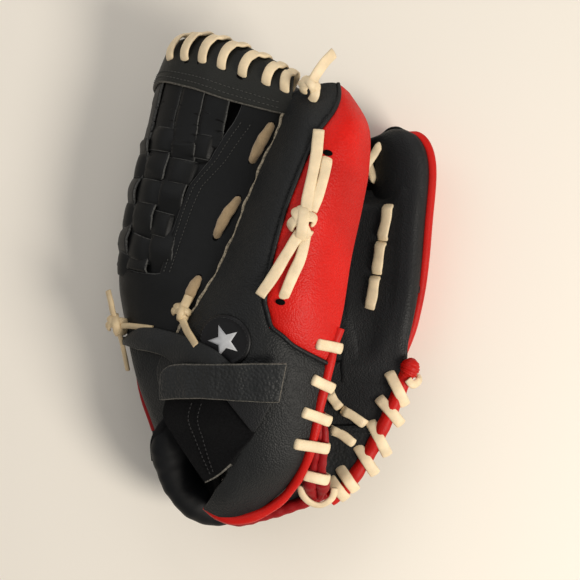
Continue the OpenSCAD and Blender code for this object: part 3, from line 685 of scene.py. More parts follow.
# The red panel is that part of the thumb's back which lies over LEAF_U and before LEAF_V.
LEAF_U = 0.5
LEAF_V = 6 / 11

THUMB_FRONT = Net([
    [[2, 99, 77], [14, 106, 77], [26, 105, 80]],
    [[-1, 90, 72], [17, 88, 72], [37, 86, 79]],
    [[-12, 66, 70], [13, 64, 69], [40, 66, 78]],
    [[-22, 44, 69], [7, 44, 67], [36, 45, 78]],
    [[-33, 17, 69], [-2, 17, 66], [30, 16, 79]],
    [[-45, -6, 69], [-9, -8, 66], [27, -12, 80]],
    [[-52, -24, 66], [-14, -28, 66], [17, -33, 80]],
    [[-44, -46, 64], [-14, -50, 66], [10, -53, 78]],
    [[-30, -66, 63], [-11, -70, 65], [5, -70, 76]],
    [[-14, -84, 62], [-6, -86, 64], [1, -87, 72]],
], 1)

WEB = Net([
    [[4, 116, 84], [-6, 122, 82], [-28, 134, 76], [-48, 141, 66], [-63, 139, 52], [-66, 131, 36],
     [-60, 122, 26], [-52, 119, 22]],
    [[2, 96, 78], [-9, 97, 80], [-34, 104, 76], [-55, 112, 67], [-72, 117, 51], [-74, 111, 36],
     [-67, 102, 25], [-58, 99, 22]],
    [[-2, 82, 76], [-14, 82, 77], [-40, 88, 73], [-61, 94, 65], [-77, 97, 50], [-79, 92, 35],
     [-72, 85, 24], [-61, 82, 21]],
    [[-10, 65, 75], [-23, 64, 75], [-47, 68, 71], [-68, 72, 63], [-83, 74, 50], [-84, 70, 35],
     [-76, 66, 24], [-62, 62, 21]],
    [[-20, 44, 75], [-33, 43, 74], [-56, 46, 69], [-75, 49, 62], [-89, 51, 49], [-90, 48, 34],
     [-80, 44, 24], [-63, 40, 21]],
    [[-31, 17, 75], [-44, 15, 74], [-64, 17, 69], [-81, 20, 61], [-94, 24, 48], [-94, 22, 33],
     [-83, 19, 23], [-63, 17, 21]],
    [[-43, -5, 75], [-55, -8, 74], [-70, -5, 68], [-84, -3, 60], [-95, 2, 48], [-95, 1, 33],
     [-83, 0, 23], [-62, 0, 21]],
    [[-54, -22, 73], [-64, -24, 72], [-74, -22, 67], [-84, -20, 60], [-92, -18, 48],
     [-92, -18, 33], [-80, -18, 22], [-60, -18, 21]],
], 1)

PALM = Net([
    [[14, -114, 47], [20, -115, 46], [26, -114, 45]],
    [[4, -100, 47], [22, -102, 43], [37, -103, 46]],
    [[-12, -80, 46], [20, -80, 42], [52, -79, 47]],
    [[-30, -60, 45], [18, -60, 42], [61, -60, 49]],
    [[-43.5, -41.5, 45], [15, -41.5, 44], [67, -41.5, 49]],
], 1)

GUSSET = Net([
    [[-70, -24, 68], [-91, -22, 52], [-92, -22, 38], [-84, -22, 26]],
    [[-69, -40, 68], [-87, -42, 55], [-87, -44, 46], [-86, -44, 45]],
    [[-66, -56, 69], [-82, -58, 55], [-84, -60, 45], [-83.5, -60, 43.5]],
    [[-60, -68, 70], [-73, -77, 57], [-76.5, -81, 47], [-76, -81, 43]],
], 1)

HAND_BACK = Net([
    [[-85, -42, 44], [-82, -42, 20], [-66, -42, 3], [-30, -42, 1], [10, -42, 1], [50, -42, 5],
     [65, -42, 20], [69, -42, 42]],
    [[-84, -60, 42], [-80, -60, 20], [-60, -60, 4], [-28, -61, 2], [8, -61, 2], [42, -61, 6],
     [57, -61, 20], [63, -60, 41]],
    [[-80, -80, 40], [-76, -80, 20], [-56, -80, 6], [-26, -81, 4], [4, -82, 4], [32, -82, 8],
     [46, -81, 20], [53, -80, 39]],
    [[-77, -98, 34], [-72, -98, 19], [-54, -99, 8], [-28, -100, 6], [-4, -101, 6], [19, -102, 10],
     [31, -102, 20], [38, -102, 37]],
    [[-68, -112, 27], [-62, -113, 17], [-46, -114, 10], [-26, -115, 8], [-8, -116, 8], [9, -116, 11],
     [19, -115, 19], [26, -113, 35]],
], 1)

SEAM_Z = 20.0
FINGER_CROWN = 13.0
PINKY_TILT = 20.0
FINGER_HALF = 17.2
TIP_START = [0.86, 0.86, 0.86, 0.8]
PINKY = 3
PINKY_REACH = 0.84
FINGER_WIDTHS = [[0.73], [0.91], [0.99], [1.0], [0.96]]
FINGER_MID = [
    [[-31, -40], [-44, 0], [-45, 40], [-42, 80], [-38, 114]],
    [[-2.5, -40], [-9, 0], [-9, 40], [-6, 80], [-2, 122]],
    [[26, -40], [26, 0], [26.5, 40], [27.6, 80], [28, 109]],
    [[54.5, -40], [61, 0], [64, 40], [65.85, 72], [60.5, 94]],
]
FINGER_NAMES = ["index", "middle", "ring", "pinky"]
LEFT_SEAM = [SEAM_Z, SEAM_Z, SEAM_Z, SEAM_Z + 4]
RIGHT_SEAM = [SEAM_Z, SEAM_Z, SEAM_Z + 4, SEAM_Z + PINKY_TILT]
PALM_TOP = [[-43.5, 45], [15, 44], [67, 49]]


def fullness(f, v):
    """1 along a finger, and less towards the end of its tip."""
    q = np.maximum(v - TIP_START[f], 0) / (1 - TIP_START[f])
    return np.sqrt(1 - 0.97 * q * q)


def finger_plan(f, s, v):
    """Place x, y at the share s across a finger, from -1 to 1, and v along it."""
    c = along(FINGER_MID[f], v.ravel()).reshape(*v.shape, 2)
    w = along(FINGER_WIDTHS, v.ravel()).reshape(v.shape) * FINGER_HALF
    full = fullness(f, v)
    return c[..., 0] + s * w * (0.42 + 0.58 * full), c[..., 1] - 7 * s * s * (1 - full)


def reach(f, s):
    """How far across a finger its ball side goes: the little finger's ends before its edge."""
    return np.where(s > 0, PINKY_REACH if f == PINKY else 1.0, 1.0)


def front_point(f, s, v):
    """Ball side of a finger: it grows out of the palm and arches between its seams."""
    s, v = np.broadcast_arrays(np.asarray(s, float), np.asarray(v, float))
    x, y = finger_plan(f, s, v)
    seam = LEFT_SEAM[f] + (RIGHT_SEAM[f] - LEFT_SEAM[f]) * (s + 1) / 2
    rise = 15 * (1 - smooth(v * 2.2)) * (0.4 if f == PINKY else 0.9)
    across = np.abs(s / reach(f, s))
    crown = FINGER_CROWN * np.sqrt(np.maximum(1 - across ** 2.4, 0)) * fullness(f, v)
    palm = along(PALM_TOP, np.clip((x + 43.5) / 110.5, 0, 1).ravel())[:, 1].reshape(x.shape)
    grown = smooth(v / 0.3)
    return np.stack([x, y, grown * (seam + rise + crown) + (1 - grown) * palm], axis=-1)


def back_point(f, a, v):
    """Back of a finger at the angle a round it, 0 and pi at its seams; it closes at the tip."""
    z0 = LEFT_SEAM[f] + (RIGHT_SEAM[f] - LEFT_SEAM[f]) * (1 - np.cos(a)) / 2
    c = -np.cos(a)
    s = np.sign(c) * np.abs(c) ** 0.62
    x, y = finger_plan(f, s, v)
    low = (z0 - 1.2) * (1 - fullness(f, v)) / (1 - fullness(f, 1.0))
    k = np.minimum(1.12 * np.sin(a) ** 0.62, 1)
    z = (z0 - 0.7) * (1 - k) + low * k
    if f == PINKY:
        tuck = 1 - smooth((v - 0.02) / 0.16)
        x = x - 6.0 * tuck * np.maximum(s, 0)
        z = z + (6.0 + 12.0 * np.maximum(s, 0)) * tuck * k
    return np.stack([x, y, z], axis=-1)


# ---- Thumb side ----------------------------------------------------------------------------

PIPING_R = 1.15
THUMB_ROWS = 132
THUMB_COLS = 60


def leaf_edge(v):
    """Share u of the red panel's edge: it swings out towards the tip."""
    return LEAF_U + 0.27 * (1 - smooth(v / 0.13))


def leaf_u(s, v):
    """Share u of a place that divides the thumb's back so that s = 0.5 is the red panel's edge."""
    edge = leaf_edge(v)
    return np.where(s < 0.5, 2 * s * edge, edge + (2 * s - 1) * (1 - edge))


def piping_line(h):
    """Line of the piping along the red panel's side and foot, rounded at its corner."""
    v = np.linspace(0.0, LEAF_V, 90)
    side = THUMB.over(leaf_edge(v), v, h)
    foot = THUMB.over(np.linspace(LEAF_U, 0.985, 50)[1:], np.full(49, LEAF_V), h)
    line = np.concatenate([side, foot])
    lo, hi = len(side) - 13, len(side) + 12
    for _ in range(30):
        line[lo:hi] = 0.25 * line[lo - 1:hi - 1] + 0.5 * line[lo:hi] + 0.25 * line[lo + 1:hi + 1]
    return line


def thumb_height(u, v):
    """The panels puff up between seams and dip into the piping's groove."""
    places = THUMB.at(u, v)
    d = np.full(u.shape, 1e9)
    for q in piping_line(0.0)[::3]:
        d = np.minimum(d, np.linalg.norm(places - q, axis=-1))
    groove = -1.3 * np.exp(-(d / 2.0) ** 2)
    puff = 1.0 * (1 - np.exp(-(d / 9.0) ** 2))
    return (groove + puff * smooth((1 - u) * 6)) * smooth(v * 9)


def build_thumb():
    s, v = np.meshgrid(np.linspace(0, 1, THUMB_COLS + 1), np.linspace(0, 1, THUMB_ROWS + 1))
    u = leaf_u(s, v)
    height = thumb_height(u, v)
    i, j = np.mgrid[0:THUMB_ROWS, 0:THUMB_COLS]
    black = (i >= round(THUMB_ROWS * LEAF_V)) | (j < THUMB_COLS // 2)
    add_piece("thumb_back_leather", sheet_over(THUMB, u, v, height, LEATHER_T, black), "charcoal",
              "across", "thumb_back_panel")
    add_piece("thumb_red_panel", sheet_over(THUMB, u, v, height, LEATHER_T, ~black), "red",
              "across", "thumb_outer_panel")
    add_piece("thumb_piping_cord", sweep_part(piping_line(0.1), round_profile(PIPING_R, 10)), "black",
              "thumb_side", "thumb_piping")
    add_piece("thumb_ball_side", net_sheet(THUMB_FRONT, (0, 1, 41), (0, 1, 81)), "black", "across",
              "thumb_front_leather")
    seam = THUMB.over(1.0, np.linspace(0.0, 0.56, 100), -2.6) + [-1.2, 0, -1.6]
    add_piece("thumb_side_welt", sweep_part(seam, oval_profile(1.5, 1.9, 10)), "dark_red", "across")
    wave = np.linspace(0, 1, 150)[:, None]
    rim = THUMB.at(0.0, np.linspace(0.02, 0.6, 150))
    rim = rim + [1.0, 0, 0] * (0.5 * np.sin(41 * wave) + 0.3 * np.sin(97 * wave + 1)) + [-0.7, 0, 0.6]
    add_piece("thumb_raw_edge", sweep_part(rim, oval_profile(0.9, 0.8, 10)), "raw", "across")
    pad = net_sheet(Net(THUMB_FRONT.rows, -1), (0.3, 0.86, 12), (0.5, 0.92, 20), 7.7, 4.8)
    add_piece("thumb_padding", pad, "felt", "across", "thumb_pad")
    lining = net_sheet(THUMB, (0.12, 0.9, 24), (0.06, 0.78, 50), -2.9, 1.2)
    add_piece("thumb_lining_cloth", lining, "lining", "across", "thumb_lining")


EDGE_ROLL = [
    [27, -20.5, 84], [23.7, -29.7, 84.5], [21.6, -38.8, 85], [19.9, -46.4, 85], [17.8, -55, 84.5],
    [15.6, -64.7, 84], [14, -74.4, 83.5], [11.9, -83.3, 82], [9.6, -91.2, 79.5], [6.5, -98.9, 76.5],
    [2.6, -106.2, 73], [-4, -115, 70], [-14, -122.3, 68], [-24.5, -126.3, 67], [-33, -127.2, 66],
    [-42, -124.8, 64], [-47.8, -121.4, 62],
]
EDGE_SIZES = [0.9, 1, 1, 1, 1, 1, 1, 1, 1, 1, 1, 1.02, 1.08, 1.16, 1.16, 0.95, 0.55]
HEEL_ROLL = [
    [17.3, -66, 81], [17.4, -79.4, 79], [15.9, -90.3, 75], [14.6, -101, 69], [14.7, -109.4, 62],
    [15.2, -117, 56],
]
HEEL_SIZES = [1.6, 3.2, 4.1, 4.6, 7.0, 3.0]
# Where each lace leaves the leather, where it turns round the edge, and the roll's height there.
THUMB_WRAPS = [
    [[14.5, -28.6], [26.6, -31.5], 84.5], [[12.2, -47.7], [22.4, -52.9], 84.5],
    [[7, -65.1], [20.6, -70.6], 83], [[2.6, -82.4], [19.9, -85.8], 80.5],
    [[7.6, -101.1], [20.2, -104.5], 70],
]
HEEL_LOOP = [
    [6, -109, 62], [7, -114.5, 60.5], [11.5, -119.5, 58], [17.5, -121, 57], [23.5, -117, 58],
    [25, -111, 60],
]


def build_thumb_edge():
    add_piece("thumb_edge_roll", folded_binding(EDGE_ROLL, 2.7, 260, 1.0, sizes=EDGE_SIZES),
              "binding", "across", ["thumb_binding", "wrist_binding"])
    half = np.outer(0.5 * np.array(HEEL_SIZES), [1, 0, 0])
    add_piece("thumb_heel_rolls", [
        folded_binding(HEEL_ROLL + side * half, 0.62, 110, seed, sizes=HEEL_SIZES)
        for side, seed in ((-1, 2.5), (1, 4.0))
    ], "dark_red", "across")
    parts = []
    for k, (start, turn, z) in enumerate(THUMB_WRAPS):
        surface, _ = THUMB.lift(start, 0.8)
        parts.append(edge_wrap(start, turn, z, 3.0 if k < 3 else 4.4, surface[2], k + 1.0))
    parts.append(sweep_part(even(HEEL_LOOP, 30), lace_profile(4.2, LACE_T), (0, -0.8, 1)))
    add_piece("thumb_heel_laces", parts, "cream", "across", "thumb_heel_lace")


# The loop lace's four stretches: places, height, and how deep its two ends are buried.
LOOP_LACE = [
    ([[15, 83], [13, 66], [9, 48], [8, 38]], 1.6, (0, 0)),
    ([[19.4, 70], [16.5, 56], [11, 41]], 0.9, (2.6, 0)),
    ([[5, 30], [-2, 18], [-8, 8], [-15, -3]], 1.5, (0, 0)),
    ([[8, 29], [5, 16], [0, 5], [-4, -5]], 0.7, (0, 2.2)),
]


def build_thumb_lace():
    parts = [lace_on(THUMB, places, h, seed=k, bury=bury)
             for k, (places, h, bury) in enumerate(LOOP_LACE)]
    centre, _ = THUMB.lift([6.3, 34.5], 2.6)
    parts.append(tie_knot(centre, [0.35, 1.0], [5.4, 8.2, 3.2], 6.0, 9.0))
    add_piece("thumb_loop_laces", parts, "cream", "thumb_side", "thumb_loop_lace")
    # Dark ovals of painted shade where the lace goes into the leather.
    hole_shades = [hole_shade_part(*THUMB.lift(place, 0.9), [1, -0.2, 0], 2.6, 1.6)
             for place in ([19.6, 71.5], [-5, -6.2])]
    add_piece("thumb_lace_hole_shade", hole_shades, "hole", "thumb_side")


EMBLEM = np.array([-34.0, -27.0])
EMBLEM_R = 13.5
STAR_TIP = 8.6
STAR_NOTCH = 3.6
STAR_POINTS = 5


def star_part(h):
    """Five-pointed star that lies over the thumb's back: a low pyramid with a rim below it."""
    corners = 2 * STAR_POINTS
    turn = np.radians(108 + 180 / STAR_POINTS * np.arange(corners))
    radius = np.where(np.arange(corners) % 2 == 0, STAR_TIP, STAR_NOTCH)
    ring = EMBLEM + radius[:, None] * np.stack([np.cos(turn), np.sin(turn)], axis=1)
    verts = [THUMB.lift(EMBLEM, h + 1.0)[0][None]]
    for share, rise in ((0.35, 0.8), (0.7, 0.5), (1.0, 0.25), (1.0, -0.4)):
        verts.append(THUMB.lift(EMBLEM * (1 - share) + ring * share, h + rise)[0])
    faces = []
    for k in range(corners):
        k2 = (k + 1) % corners
        faces.append([0, 1 + k, 1 + k2])
        for a in range(1, 1 + 3 * corners, corners):
            faces.append([a + k, a + corners + k, a + corners + k2, a + k2])
    faces.append([1 + 3 * corners + k for k in reversed(range(corners))])
    return np.concatenate(verts), faces, [0] * len(faces)


def build_emblem():
    q = np.linspace(-1, 1, 29)
    a, b = np.meshgrid(q, -q)
    disc = EMBLEM_R * np.stack([a * np.sqrt(1 - b * b / 2), b * np.sqrt(1 - a * a / 2)], axis=-1)
    u, v = THUMB.locate(*np.moveaxis(disc + EMBLEM, -1, 0))
    r = np.linalg.norm(disc, axis=-1) / EMBLEM_R
    rubber = sheet_over(THUMB, u, v, 2.1 + 0.35 * np.exp(-((r - 0.9) / 0.05) ** 2), 1.6)
    add_piece("emblem_disc", rubber, "emblem", "thumb_side", "emblem_patch")
    add_piece("emblem_star_mark", star_part(2.1), "silver", "thumb_side")
    q = np.linspace(0, 2 * math.pi, 120)
    ring = EMBLEM + 12.2 * np.stack([np.cos(q), np.sin(q)], axis=1)
    add_piece("emblem_stitches", stitches_on(*THUMB.lift(ring, 2.3), 1.3, 2.1, 0.2), "black_thread",
              "thumb_side")


# ---- Web -------------------------------------------------------------------------------------

WEFT_VS = [0.358, 0.453, 0.536, 0.616, 0.691, 0.768]
WARP_PITCH = 15.2
WARP_OFFSETS = [-22.8, -7.6, 7.6, 22.8, 38.0, 53.2]
WEFT_WIDTH = 13.0
WEAVE_H = 1.3
WEAVE_SWING = 1.5
WEB_EDGE_V = [0.12, 0.25, 0.4, 0.5, 0.6, 0.77, 0.8, 1.0]
WEB_EDGE_U = [0.235, 0.245, 0.27, 0.305, 0.31, 0.325, 0.80, 0.80]


def web_edge_u(v):
    """Where the base panel of the web ends and the weave starts; it runs right across below."""
    return np.interp(v, WEB_EDGE_V, WEB_EDGE_U)


def warp_u(offset, v):
    """Shares u on the web at so many millimetres from its left silhouette, for each v."""
    fine = np.linspace(0.02, 0.98, 240)
    out = []
    for share in np.atleast_1d(v):
        p = WEB.at(fine, share)
        run = run_along(p)
        out.append(np.interp(run[np.argmin(p[:, 0])] - offset, run, fine))
    return np.array(out)


def strip_sheet(u, v, h, width):
    """Strip of leather that follows the web along u, v at the heights h over it."""
    across = np.linspace(-0.5, 0.5, 9)
    p = WEB.at(u, v)
    n = WEB.normal(u, v)
    s = unit(np.cross(unit(np.gradient(p, axis=0)), n))
    crown = 0.6 * (1 - (2 * across) ** 2)
    top = (p[:, None] + across[None, :, None] * width * s[:, None]
           + n[:, None] * (h[:, None] + crown)[..., None])
    return sheet_part(top, np.repeat(n[:, None], 9, axis=1), 1.5, None, lambda r, c: True, 1, 0.3)


def sink_under(h, room):
    """Heights of a strip that dives under the base panel where room falls from 1 to 0."""
    free = smooth(room)
    return h * free - 1.0 * (1 - free)


def build_weave():
    parts = []
    for j, offset in enumerate(WARP_OFFSETS):
        v = np.linspace(0.12, 0.83, 100)
        u = warp_u(offset, v)
        keep = u > web_edge_u(v) - 0.045
        v, u = v[keep], u[keep]
        phase = np.interp(v, WEFT_VS, np.arange(6), left=-0.5, right=5.5)
        flat = smooth((v - 0.25) / 0.06)
        h = WEAVE_H + WEAVE_SWING * np.cos(math.pi * (phase + j)) * flat
        h = sink_under(h, np.minimum((u - web_edge_u(v)) / 0.02, (0.785 - v) / 0.02))
        parts.append(strip_sheet(u, v, h, WARP_PITCH - 1.1))
    for k, v0 in enumerate(WEFT_VS):
        u = np.linspace(float(web_edge_u(v0)) - 0.05, 0.8, 110)
        v = v0 + 0.2 * (v0 - 0.3) * (0.571 - u)
        centres = [float(warp_u(offset, v0)[0]) for offset in WARP_OFFSETS]
        phase = np.interp(u, centres[::-1], np.arange(len(centres))[::-1])
        h = WEAVE_H - WEAVE_SWING * np.cos(math.pi * (phase + k))
        parts.append(strip_sheet(u, v, sink_under(h, (u - web_edge_u(v)) / 0.03), WEFT_WIDTH))
    add_piece("web_woven_strips", parts, ["web", "web_edge"], "across", "web_weave")
    # Near-black sheet under the weave: painted shade that shows in the gaps between the strips.
    gap_shade = net_sheet(WEB, (0.12, 0.82, 50), (0.1, 0.985, 70), -2.2, 1.6)
    add_piece("web_gap_shade", gap_shade, "hole", "across")


def build_web_panels():
    s, v = np.meshgrid(np.linspace(0, 1, 40), np.linspace(0.11, 0.99, 150))
    u = 0.02 + (web_edge_u(v) - 0.02) * s
    h = 1.9 + 0.5 * np.sin(math.pi * np.clip(u / 0.3, 0, 1))
    base = sheet_over(WEB, u, v, h, 2.0, None, lambda r, c: c == 39)
    add_piece("web_base_thumb", base, ["web", "web_edge"], "across", "web_thumb_panel")
    v = np.linspace(0.22, 0.76, 160)
    seams = [stitch_row(WEB, web_edge_u(v) - inset, v, 2.2, 1.0, 2.1, 0.24, 0.2)
             for inset in (0.016, 0.042)]
    add_piece("web_base_stitches", seams, "grey_thread", "across")
    index = net_sheet(WEB, (0.78, 0.985, 20), (0.03, 0.97, 80), 0.3)
    add_piece("web_base_index", index, "charcoal", "across", "web_index_panel")


def rail_height(u, v):
    edge = smooth(v / 0.14)
    return (4.4 - 2.6 * (1 - smooth(v / 0.03)) ** 2 + 0.5 * np.sin(40 * u) * edge
            + 1.8 * (1 - smooth((u - 0.05) / 0.2)) * edge)


def build_rail():
    rail = (0.055, 0.97, 131)
    outer = net_sheet(WEB, rail, (0, 0.142, 24), rail_height, LEATHER_T, lambda r, c: r == 23)
    inner = net_sheet(WEB, rail, (0, 0.13, 18), -1.0, 2.2)
    add_piece("web_rail_leather", [outer, inner], ["rail", "worn_edge"], "across", "web_rail")
    u = np.linspace(0.12, 0.9, 220)
    seams = [stitch_row(WEB, u, v, rail_height(u, v) + 0.05, 1.5, 2.6, 0.26) for v in (0.112, 0.128)]
    add_piece("web_rail_stitches", seams, "grey_thread", "across")


RAIL_LOOPS = [0.1, 0.178, 0.25, 0.32, 0.39, 0.462, 0.53]
# One loop's way round the rail: shares u from its start, v, and height over the web.
RAIL_LOOP = [
    (0.002, 0.079, 1.0), (0.0, 0.076, 4.6), (-0.004, 0.058, 6.7), (-0.014, 0.034, 6.9),
    (-0.032, 0.012, 6.0), (-0.049, 0.002, 3.8), (-0.058, 0.0, 0.6), (-0.06, 0.008, -3.4),
    (-0.05, 0.04, -4.8), (-0.03, 0.07, -4.0),
]
RAIL_TURN = 6


def build_rail_lace():
    parts, hole_shades = [], []
    for k, start in enumerate(RAIL_LOOPS):
        path = np.array([WEB.over(start + du, v, h) for du, v, h in RAIL_LOOP])
        path[RAIL_TURN] += [0.2, 1.3, 0]
        dense = even(path, 44)
        middle = WEB.over(start - 0.03, 0.04, 0.6)
        side = unit(WEB.at(start + 0.02, 0.04) - WEB.at(start - 0.02, 0.04))
        ups = unit(np.cross(unit(np.gradient(dense, axis=0)), side))
        ups = np.where((np.einsum("ij,ij->i", ups, dense - middle) < 0)[:, None], -ups, ups)
        parts.append(sweep_part(wobble(dense, 0.3, 0.1, k), lace_profile(5.6, 1.7), ups))
        # Dark oval of painted shade where the loop goes into the rail.
        hole_shades.append(hole_shade_part(WEB.over(start, 0.08, 4.1), WEB.normal(start + 0.001, 0.0745),
                               [1, -0.3, 0], 3.2, 1.9))
    add_piece("rail_lace_loops", parts, "cream", "across", "rail_lace")
    add_piece("rail_lace_hole_shade", hole_shades, "hole", "across")


def build_tip_knot():
    knot = knot_with_tails([10.5, 108.5, 96.0], ([-0.35, 1.0], [4.2, 4.2, 3.8], 4.6, 1.0), [
        ([[1, 1, 2], [4, 6, 4], [8.5, 12, 3], [12.5, 17, -1]], 6.0, (0.5, -0.3, 1)),
        ([[3, -1, 1], [2.5, -5.5, 0.5], [1, -8, -2.5]], 5.0),
    ])
    add_piece("web_tip_knot", knot, "cream", "thumb_side", "tip_knot")


WEB_STITCHES = [[[-9.5, 90.5], [-15.5, 80], [-21, 69.5]], [[-27.5, 50.5], [-34.5, 39.5], [-40.5, 28]],
                [[-49, 7], [-52.5, -0.5], [-56, -8]]]


def suede_stitch(places, seed):
    """Broad soft stitch, widest in its middle, that sinks into the leather at both ends."""
    s = np.linspace(0, 1, 27)
    bow = np.sin(math.pi * s)
    path, normals = WEB.lift(even(places, 26), 1.2 + (3.3 * bow ** 0.6 - 0.4))
    width = 0.62 + 0.5 * bow ** 0.7 + 0.04 * np.sin(21 * s + seed)
    size = np.stack([width, 0.9 + 0.1 * np.sin(17 * s)], axis=1)
    return sweep_part(wobble(path, 0.3, 0.2, seed), lace_profile(5.6, 2.2, 0.5), normals, size)


def build_web_lace():
    add_piece("web_suede_stitches", [suede_stitch(p, k) for k, p in enumerate(WEB_STITCHES)], "tan",
              "across", "web_thumb_lace")
    # Dark ovals of painted shade at both ends of each stitch.
    hole_shades = []
    for places in np.array(WEB_STITCHES, float):
        for end in (places[0], places[-1]):
            spot = WEB.lift(end * 0.96 + places[1] * 0.04, 2.25)
            hole_shades.append(hole_shade_part(*spot, [0.5, 1, 0], 1.9, 1.7))
    add_piece("web_lace_hole_shade", hole_shades, "hole", "across")
    knot = knot_with_tails([-59.0, -12.2, 81.5], ([0.5, 1.0], [4.0, 3.8, 3.4], 4.0, 3.0), [
        ([[4, 9, -1], [2.5, 5, 1.0], [0, 0, 2.2]], 5.0, (0, -0.3, 1)),
        ([[0, -2, 1], [2, -6, 3], [5, -11.5, 7], [9, -17.5, 10.5]], 4.6, (-0.5, -0.2, 1)),
    ])
    add_piece("web_ball_knot", knot, "pale_tan", "across")


# ---- Wrist strap -------------------------------------------------------------------------------

STRAP_BAND = Net([
    [[-94.5, -27.2, 46], [-94.6, -29, 46.5], [-94.3, -31, 47]],
    [[-91.6, -27.3, 55], [-92, -28.6, 55.5], [-91.6, -30.6, 55]],
    [[-83.9, -22.2, 64], [-84.4, -27, 65], [-84.2, -32.4, 63.5]],
    [[-76, -21.6, 69.5], [-77, -27, 71.2], [-77.3, -33.2, 69.8]],
    [[-67.6, -22.6, 75.5], [-68, -29, 77], [-68, -35.6, 75.5]],
    [[-59.3, -24.4, 82], [-59.6, -32, 83.5], [-59, -41, 82]],
    [[-52, -26.6, 88.5], [-51.5, -34, 90], [-49.8, -43, 89]],
    [[-39.8, -32, 97.2], [-40.5, -38, 97.4], [-40.7, -45.5, 94.4]],
    [[-31, -39.4, 98.8], [-31.5, -43, 98.6], [-32, -48, 97.8]],
], -1)
STRAP_LOOP = Net([
    [[-67, -56, 72], [-49, -56, 87], [-31, -56, 95.5], [-12.5, -56, 97.5]],
    [[-70, -69, 70], [-53, -69, 83], [-35, -69, 92], [-15.5, -69, 95.5]],
    [[-64.5, -80, 71.5], [-50, -80, 80], [-35, -79.5, 89], [-20.5, -78, 93.5]],
    [[-56, -92, 74], [-46, -91, 80.5], [-36, -88.5, 87], [-27, -85.5, 91]],
    [[-46.5, -104.5, 78], [-41.5, -101.5, 81.5], [-36.5, -97.5, 85.5], [-32, -93, 88.5]],
], -1)
TAB_UPPER = [
    [-66, -45.5], [-62.5, -42.4], [-57, -40.6], [-44, -39.6], [-31, -39], [-17, -38], [-4.4, -36.6],
]
TAB_LOWER = [
    [-66.6, -58], [-62.5, -57.6], [-57, -57.2], [-44, -56.2], [-31, -56.4], [-18, -56.6],
    [-7.4, -56.4],
]
FLAP_LEFT = [[-34, -52], [-32, -57], [-26, -65], [-19.5, -73.5]]
FLAP_RIGHT = [[-6.5, -52], [-9, -57], [-13.5, -65], [-18.5, -74]]


def places_between(left, right, n, q):
    """u and v of the thumb's back between two outlines, at n + 1 points along and shares q across."""
    a, b = (even(side, n)[:, None] for side in (left, right))
    xy = a * (1 - q[None, :, None]) + b * q[None, :, None]
    return THUMB.locate(xy[..., 0], xy[..., 1])


def tab_sheet(first, last, h, thick, inset, raw=None):
    """The hook tab between its two long edges: it lies on the straps and curls up at its end."""
    q = np.linspace(inset, 1 - inset, 19)
    s = np.linspace(0, 1, 61)
    pick = (s >= first) & (s <= last)
    u, v = (shares[pick] for shares in places_between(TAB_UPPER, TAB_LOWER, 60, q))
    share = s[pick][:, None]
    curl = 1.0 * share + 2.4 * smooth((share - 0.8) / 0.2)
    wave = 0.35 * np.sin(14 * share + 3 * q) + 0.25 * np.sin(31 * share)
    return sheet_over(THUMB, u, v, h + curl + wave, thick, None, raw, way=1)


def build_strap():
    band = net_sheet(STRAP_BAND, (0, 1, 17), (0, 1, 70), lambda u, v: 0.25 * np.sin(25 * v) * (1 - u),
                     1.9, lambda r, c: c == 16)
    add_piece("strap_band_leather", band, ["strap", "worn_edge"], "across", "strap_band")
    loop = net_sheet(STRAP_LOOP, (0, 1, 41), (0, 1, 51), lambda u, v: 0.3 * np.sin(7 * u + 9 * v),
                     2.2, lambda r, c: r == 50)
    add_piece("strap_loop_fabric", loop, ["fuzz", "worn_edge"], "across", "strap_loop_panel")
    v = np.linspace(0.1, 0.97, 120)
    seams = [stitch_row(STRAP_LOOP, u, v, 0.35, 1.5, 2.4, 0.3) for u in (0.3, 0.4)]
    add_piece("strap_stitches", seams, "black_thread", "across")
    u, v = places_between(FLAP_LEFT, FLAP_RIGHT, 30, np.linspace(0, 1, 21))
    add_piece("strap_flap_leather", sheet_over(THUMB, u, v, 4.6, 1.4), "black", "thumb_side",
              "strap_flap")


def build_tab():
    tab = tab_sheet(0, 1, 7.2, 2.0, 0.0, lambda r, c: True)
    add_piece("strap_tab_leather", tab, ["tab", "worn_edge"], "peel", "strap_tab")
    add_piece("tab_hooks", tab_sheet(0.3, 0.94, 5.1, 0.7, 0.08), "fuzz", "peel", "tab_hook_pad")


# ---- Fingers and palm -----------------------------------------------------------------------------


def finger_at(f, s, y):
    """Point of a finger's ball side at the share s across it and the place y along it."""
    rows = np.array(FINGER_MID[f])[:, 1]
    return front_point(f, s, np.interp(y, rows, np.linspace(0, 1, len(rows))))


def join_net():
    """The leather that spans the last two fingers and runs down on to the palm."""
    pick = [0.60, 0.66, 0.72, 0.79, 0.85, 0.92, 0.985]
    rows = [[PALM.at(u, v) for u in pick] for v in (0.78, 0.88, 0.97)]
    for y in (-27, -12, 3, 18, 33, 46, 57, 63):
        end = smooth((y - 46) / 17)
        left, right = finger_at(2, 0.1, y), finger_at(3, -0.25, y)
        row = [left]
        for q in (0.36, 0.7):
            row.append((1 - q) * left + q * right - [0, 4 * end, 2.0 + 9 * end])
        row += [right] + [finger_at(3, s, y) for s in (0.12, 0.48, 0.82)]
        rows.append(row)
    return Net(rows, 1)


JOIN = join_net()


def join_height(u, v):
    """It rises out of the leather under it at each edge."""
    edge = np.minimum(np.minimum(u / 0.1, (1 - u) / 0.1), np.minimum(v / 0.08, (1 - v) / 0.2))
    return 0.9 - 2.0 * (1 - smooth(edge))


FINGER_LINING = Net([
    [[-50, -42, 22], [0, -42, 22], [58, -42, 24]],
    [[-52, 0, 22], [0, 0, 22], [60, 0, 24]],
    [[-52, 40, 22], [0, 40, 22], [62, 40, 24]],
    [[-46, 66, 22], [0, 68, 22], [58, 62, 24]],
], 1)


def palm_height(u, v):
    return 0.8 * np.sin(math.pi * u) * np.sin(math.pi * v)


